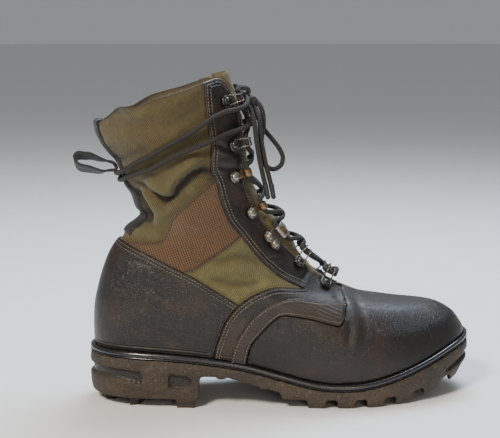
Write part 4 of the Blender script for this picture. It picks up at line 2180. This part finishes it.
    def build(self, finishes: Finishes) -> None:
        """Make every fitting, and the laces that cross between them."""
        patterns = {"wire": self.loop("wire", finishes), "tab": self.loop("tab", finishes),
                    "lock": self.lock(finishes)}
        for side in Side:
            for level in self.levels:
                if level.name == "lock":
                    self.place(patterns["lock"], f"lock_{side.word}", f"lace_lock_{side.word}", level, side)
                    continue
                kind = "tab" if level.name in ("3", "4") else "wire"
                node = f"lace_loop_{side.word}_{level.name}"
                self.place(patterns[kind], f"{kind}_loop_{side.word}_{level.name}", node, level, side)
        for pattern in patterns.values():
            bpy.data.objects.remove(pattern)
        runs = [tube(f"run_{side.word}", catmull(self.run(side), 1.1), self.lace / 2, 12) for side in Side]
        low = self.levels[-1]
        ends = []
        for side in Side:
            centre, along = self.eye(low, side)
            ends.append(centre - along * (self.tab_width / 2 + self.lace / 2 + 0.3))
        middle = (ends[0] + ends[1]) / 2 + np.array([3, 0, 2])
        bar = tube("low_bar", catmull(np.array([ends[0], middle, ends[1]]), 1.1), self.lace / 2, 12)
        piece = join("crossing_laces", runs + [bar])
        dress(piece, finishes["lace_braid"], ("lace_crossings",))


@dataclass
class PullLoop:
    """The tape loop sewn to the back of the shaft, and the folded end of the back's tape."""

    wide: float = 16
    thick: float = 1.8
    reach: float = 32
    rows: tuple[Point, ...] = (
        (0.041, 0.075, 0.05), (0.188, 0.131, 0.1), (0.438, 0.213, 0.3), (0.719, 0.275, 0.42),
        (0.906, 0.288, 0.45), (0.994, 0.188, 0.45), (0.938, 0.05, 0.45), (0.719, -0.044, 0.42),
        (0.438, -0.094, 0.3), (0.25, -0.1, 0.12), (-0.009, -0.05, 0.05),
    )

    def build(self, finishes: Finishes) -> None:
        """Make the loop and the tape's end."""
        root = LAST.on(np.array(12.0), np.array(math.pi), np.array(0.9 + 1.4 + self.thick / 2))
        dense = catmull(np.array(self.rows), 0.02, closed=True)[:-1]
        points, cloth = [], []
        across = np.linspace(-1, 1, 13)
        middle = np.stack([root[0] - dense[:, 0] * self.reach, dense[:, 0] * 0,
                           root[2] + dense[:, 1] * self.reach], -1)
        length = np.concatenate([[0], np.cumsum(np.linalg.norm(np.diff(middle, axis=0), axis=1))])
        for i, (at, lean) in enumerate(zip(middle, dense[:, 2])):
            wide = np.array([0, -math.cos(lean), math.sin(lean)]) * self.wide / 2
            wave = 0.35 * math.sin(length[i] * 0.42)
            for w in across:
                points.append(at + wide * w + np.array([0, 0, wave * w * w]))
                cloth.append((w * self.wide / 2, length[i], 0))
        faces = quads(len(dense), 13, False)
        last = (len(dense) - 1) * 13
        faces += [(last + k, last + k + 1, k + 1, k) for k in range(12)]
        piece = mesh_piece("pull_tape", np.array(points), faces, {"weave": np.array(cloth)})
        apply(piece, "SOLIDIFY", thickness=self.thick * MM, offset=0)
        outwards(piece)
        apply(piece, "BEVEL", width=0.45 * MM, segments=2, limit_method="ANGLE", angle_limit=math.radians(60))
        smooth(piece, 50)
        dress(piece, finishes["webbing"], ("pull_loop",))
        self.tape_end(finishes)

    def tape_end(self, finishes: Finishes) -> None:
        """The rounded end of the back's tape, folded over the collar."""
        profile = [(14.2, 1.9), (14.7, 2.0), (15.0, 1.9), (15.06, 0.6), (15.05, -1.0), (14.95, -2.9), (14.5, -3.1)]
        run = catmull(np.array(profile) * np.array([12.0, 1.0]), 0.5)
        points, cloth = [], []
        across = np.linspace(-1, 1, 15)
        for i, (ring, high) in enumerate(run):
            u = ring / 12.0
            for w in across:
                angle = math.pi + w * 11.6 / float(LAST.half_width(np.array(u), np.array(0.97)))
                lift = 2.2 * (1 - w * w) if u > 14.98 else 0
                place = LAST.on(np.array(u), np.array(angle), np.array(high))
                points.append(place + np.array([0, 0, lift]))
                cloth.append((w * 12, i * 0.5, 0))
        piece = mesh_piece("tape_end", np.array(points), quads(len(run), 15, False), {"weave": np.array(cloth)})
        apply(piece, "SOLIDIFY", thickness=1.2 * MM, offset=0)
        outwards(piece)
        smooth(piece, 50)
        dress(piece, finishes["webbing"])


@dataclass
class Studio:
    """The camera, the pale floor and the soft lights."""

    camera: Point = (5.26, -874.6, 285)
    yaw: float = 5.0
    pitch: float = 9.27
    lens: float = 80.7

    def shoot(self) -> None:
        """Set up the camera at the picture's angle."""
        data = bpy.data.cameras.new("camera")
        data.lens = self.lens
        data.sensor_width = 36
        data.clip_end = 50
        made = bpy.data.objects.new("camera", data)
        made.location = Vector(self.camera) * MM
        made.rotation_euler = (math.radians(90 - self.pitch), 0, math.radians(-self.yaw))
        bpy.context.scene.collection.objects.link(made)
        bpy.context.scene.camera = made

    def area(self, name: str, place: Point, size: float, power: float, tint: tuple) -> None:
        """Hang one soft light.

        Args:
            name: Its name.
            place: Where it hangs, in metres.
            size: Its width, in metres.
            power: Its power, in watts.
            tint: Its colour.
        """
        data = bpy.data.lights.new(name, "AREA")
        data.size = size
        data.energy = power
        data.color = tint
        made = bpy.data.objects.new(name, data)
        made.location = place
        aim = Vector((0.1, 0, 0.1)) - Vector(place)
        made.rotation_euler = aim.to_track_quat("-Z", "Y").to_euler()
        bpy.context.scene.collection.objects.link(made)

    def build(self) -> None:
        """Lay the floor and hang the lights."""
        quiet()
        bpy.ops.mesh.primitive_grid_add(x_subdivisions=2, y_subdivisions=2, size=80)
        floor = bpy.context.object
        floor.name = "floor"
        s = Shader("floor")
        speck = s.noise(40, 2)
        s.finish(s.blend(speck, colour(0.78, 0.78, 0.78), colour(0.82, 0.82, 0.82)), 0.9)
        floor.data.materials.append(s.material)
        floor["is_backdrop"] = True
        world = bpy.data.worlds.new("world")
        world.use_nodes = True
        bpy.context.scene.world = world
        back = world.node_tree.nodes["Background"]
        back.inputs["Color"].default_value = (0.93, 0.96, 1.0, 1)
        back.inputs["Strength"].default_value = 0.3
        self.area("key", (-0.7, -1.15, 1.35), 0.4, 40, (1.0, 0.90, 0.77))
        self.area("sky", (0.35, 0.45, 1.2), 0.8, 26, (0.74, 0.86, 1.0))
        self.area("low", (0.25, -1.4, 0.5), 0.3, 2.6, (1.0, 0.80, 0.58))


def corners() -> list[list[float]]:
    """The shown object's box as plain lists."""
    return [list(corner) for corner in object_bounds()]


def main() -> None:
    """Build the scene, piece by piece."""
    logging.basicConfig(level=logging.INFO, format="%(message)s")
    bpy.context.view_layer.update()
    finishes = Finishes()
    studio = Studio()
    studio.shoot()
    Cords().build(finishes)
    Fittings().build(finishes)
    Upper().build(finishes)
    Tongue().build(finishes)
    Sole().build(finishes)
    PullLoop().build(finishes)
    Stitching().build(finishes)
    Piping().build(finishes)
    studio.build()
    log.info("the boot is dressed")


if __name__ == "__main__":
    main()
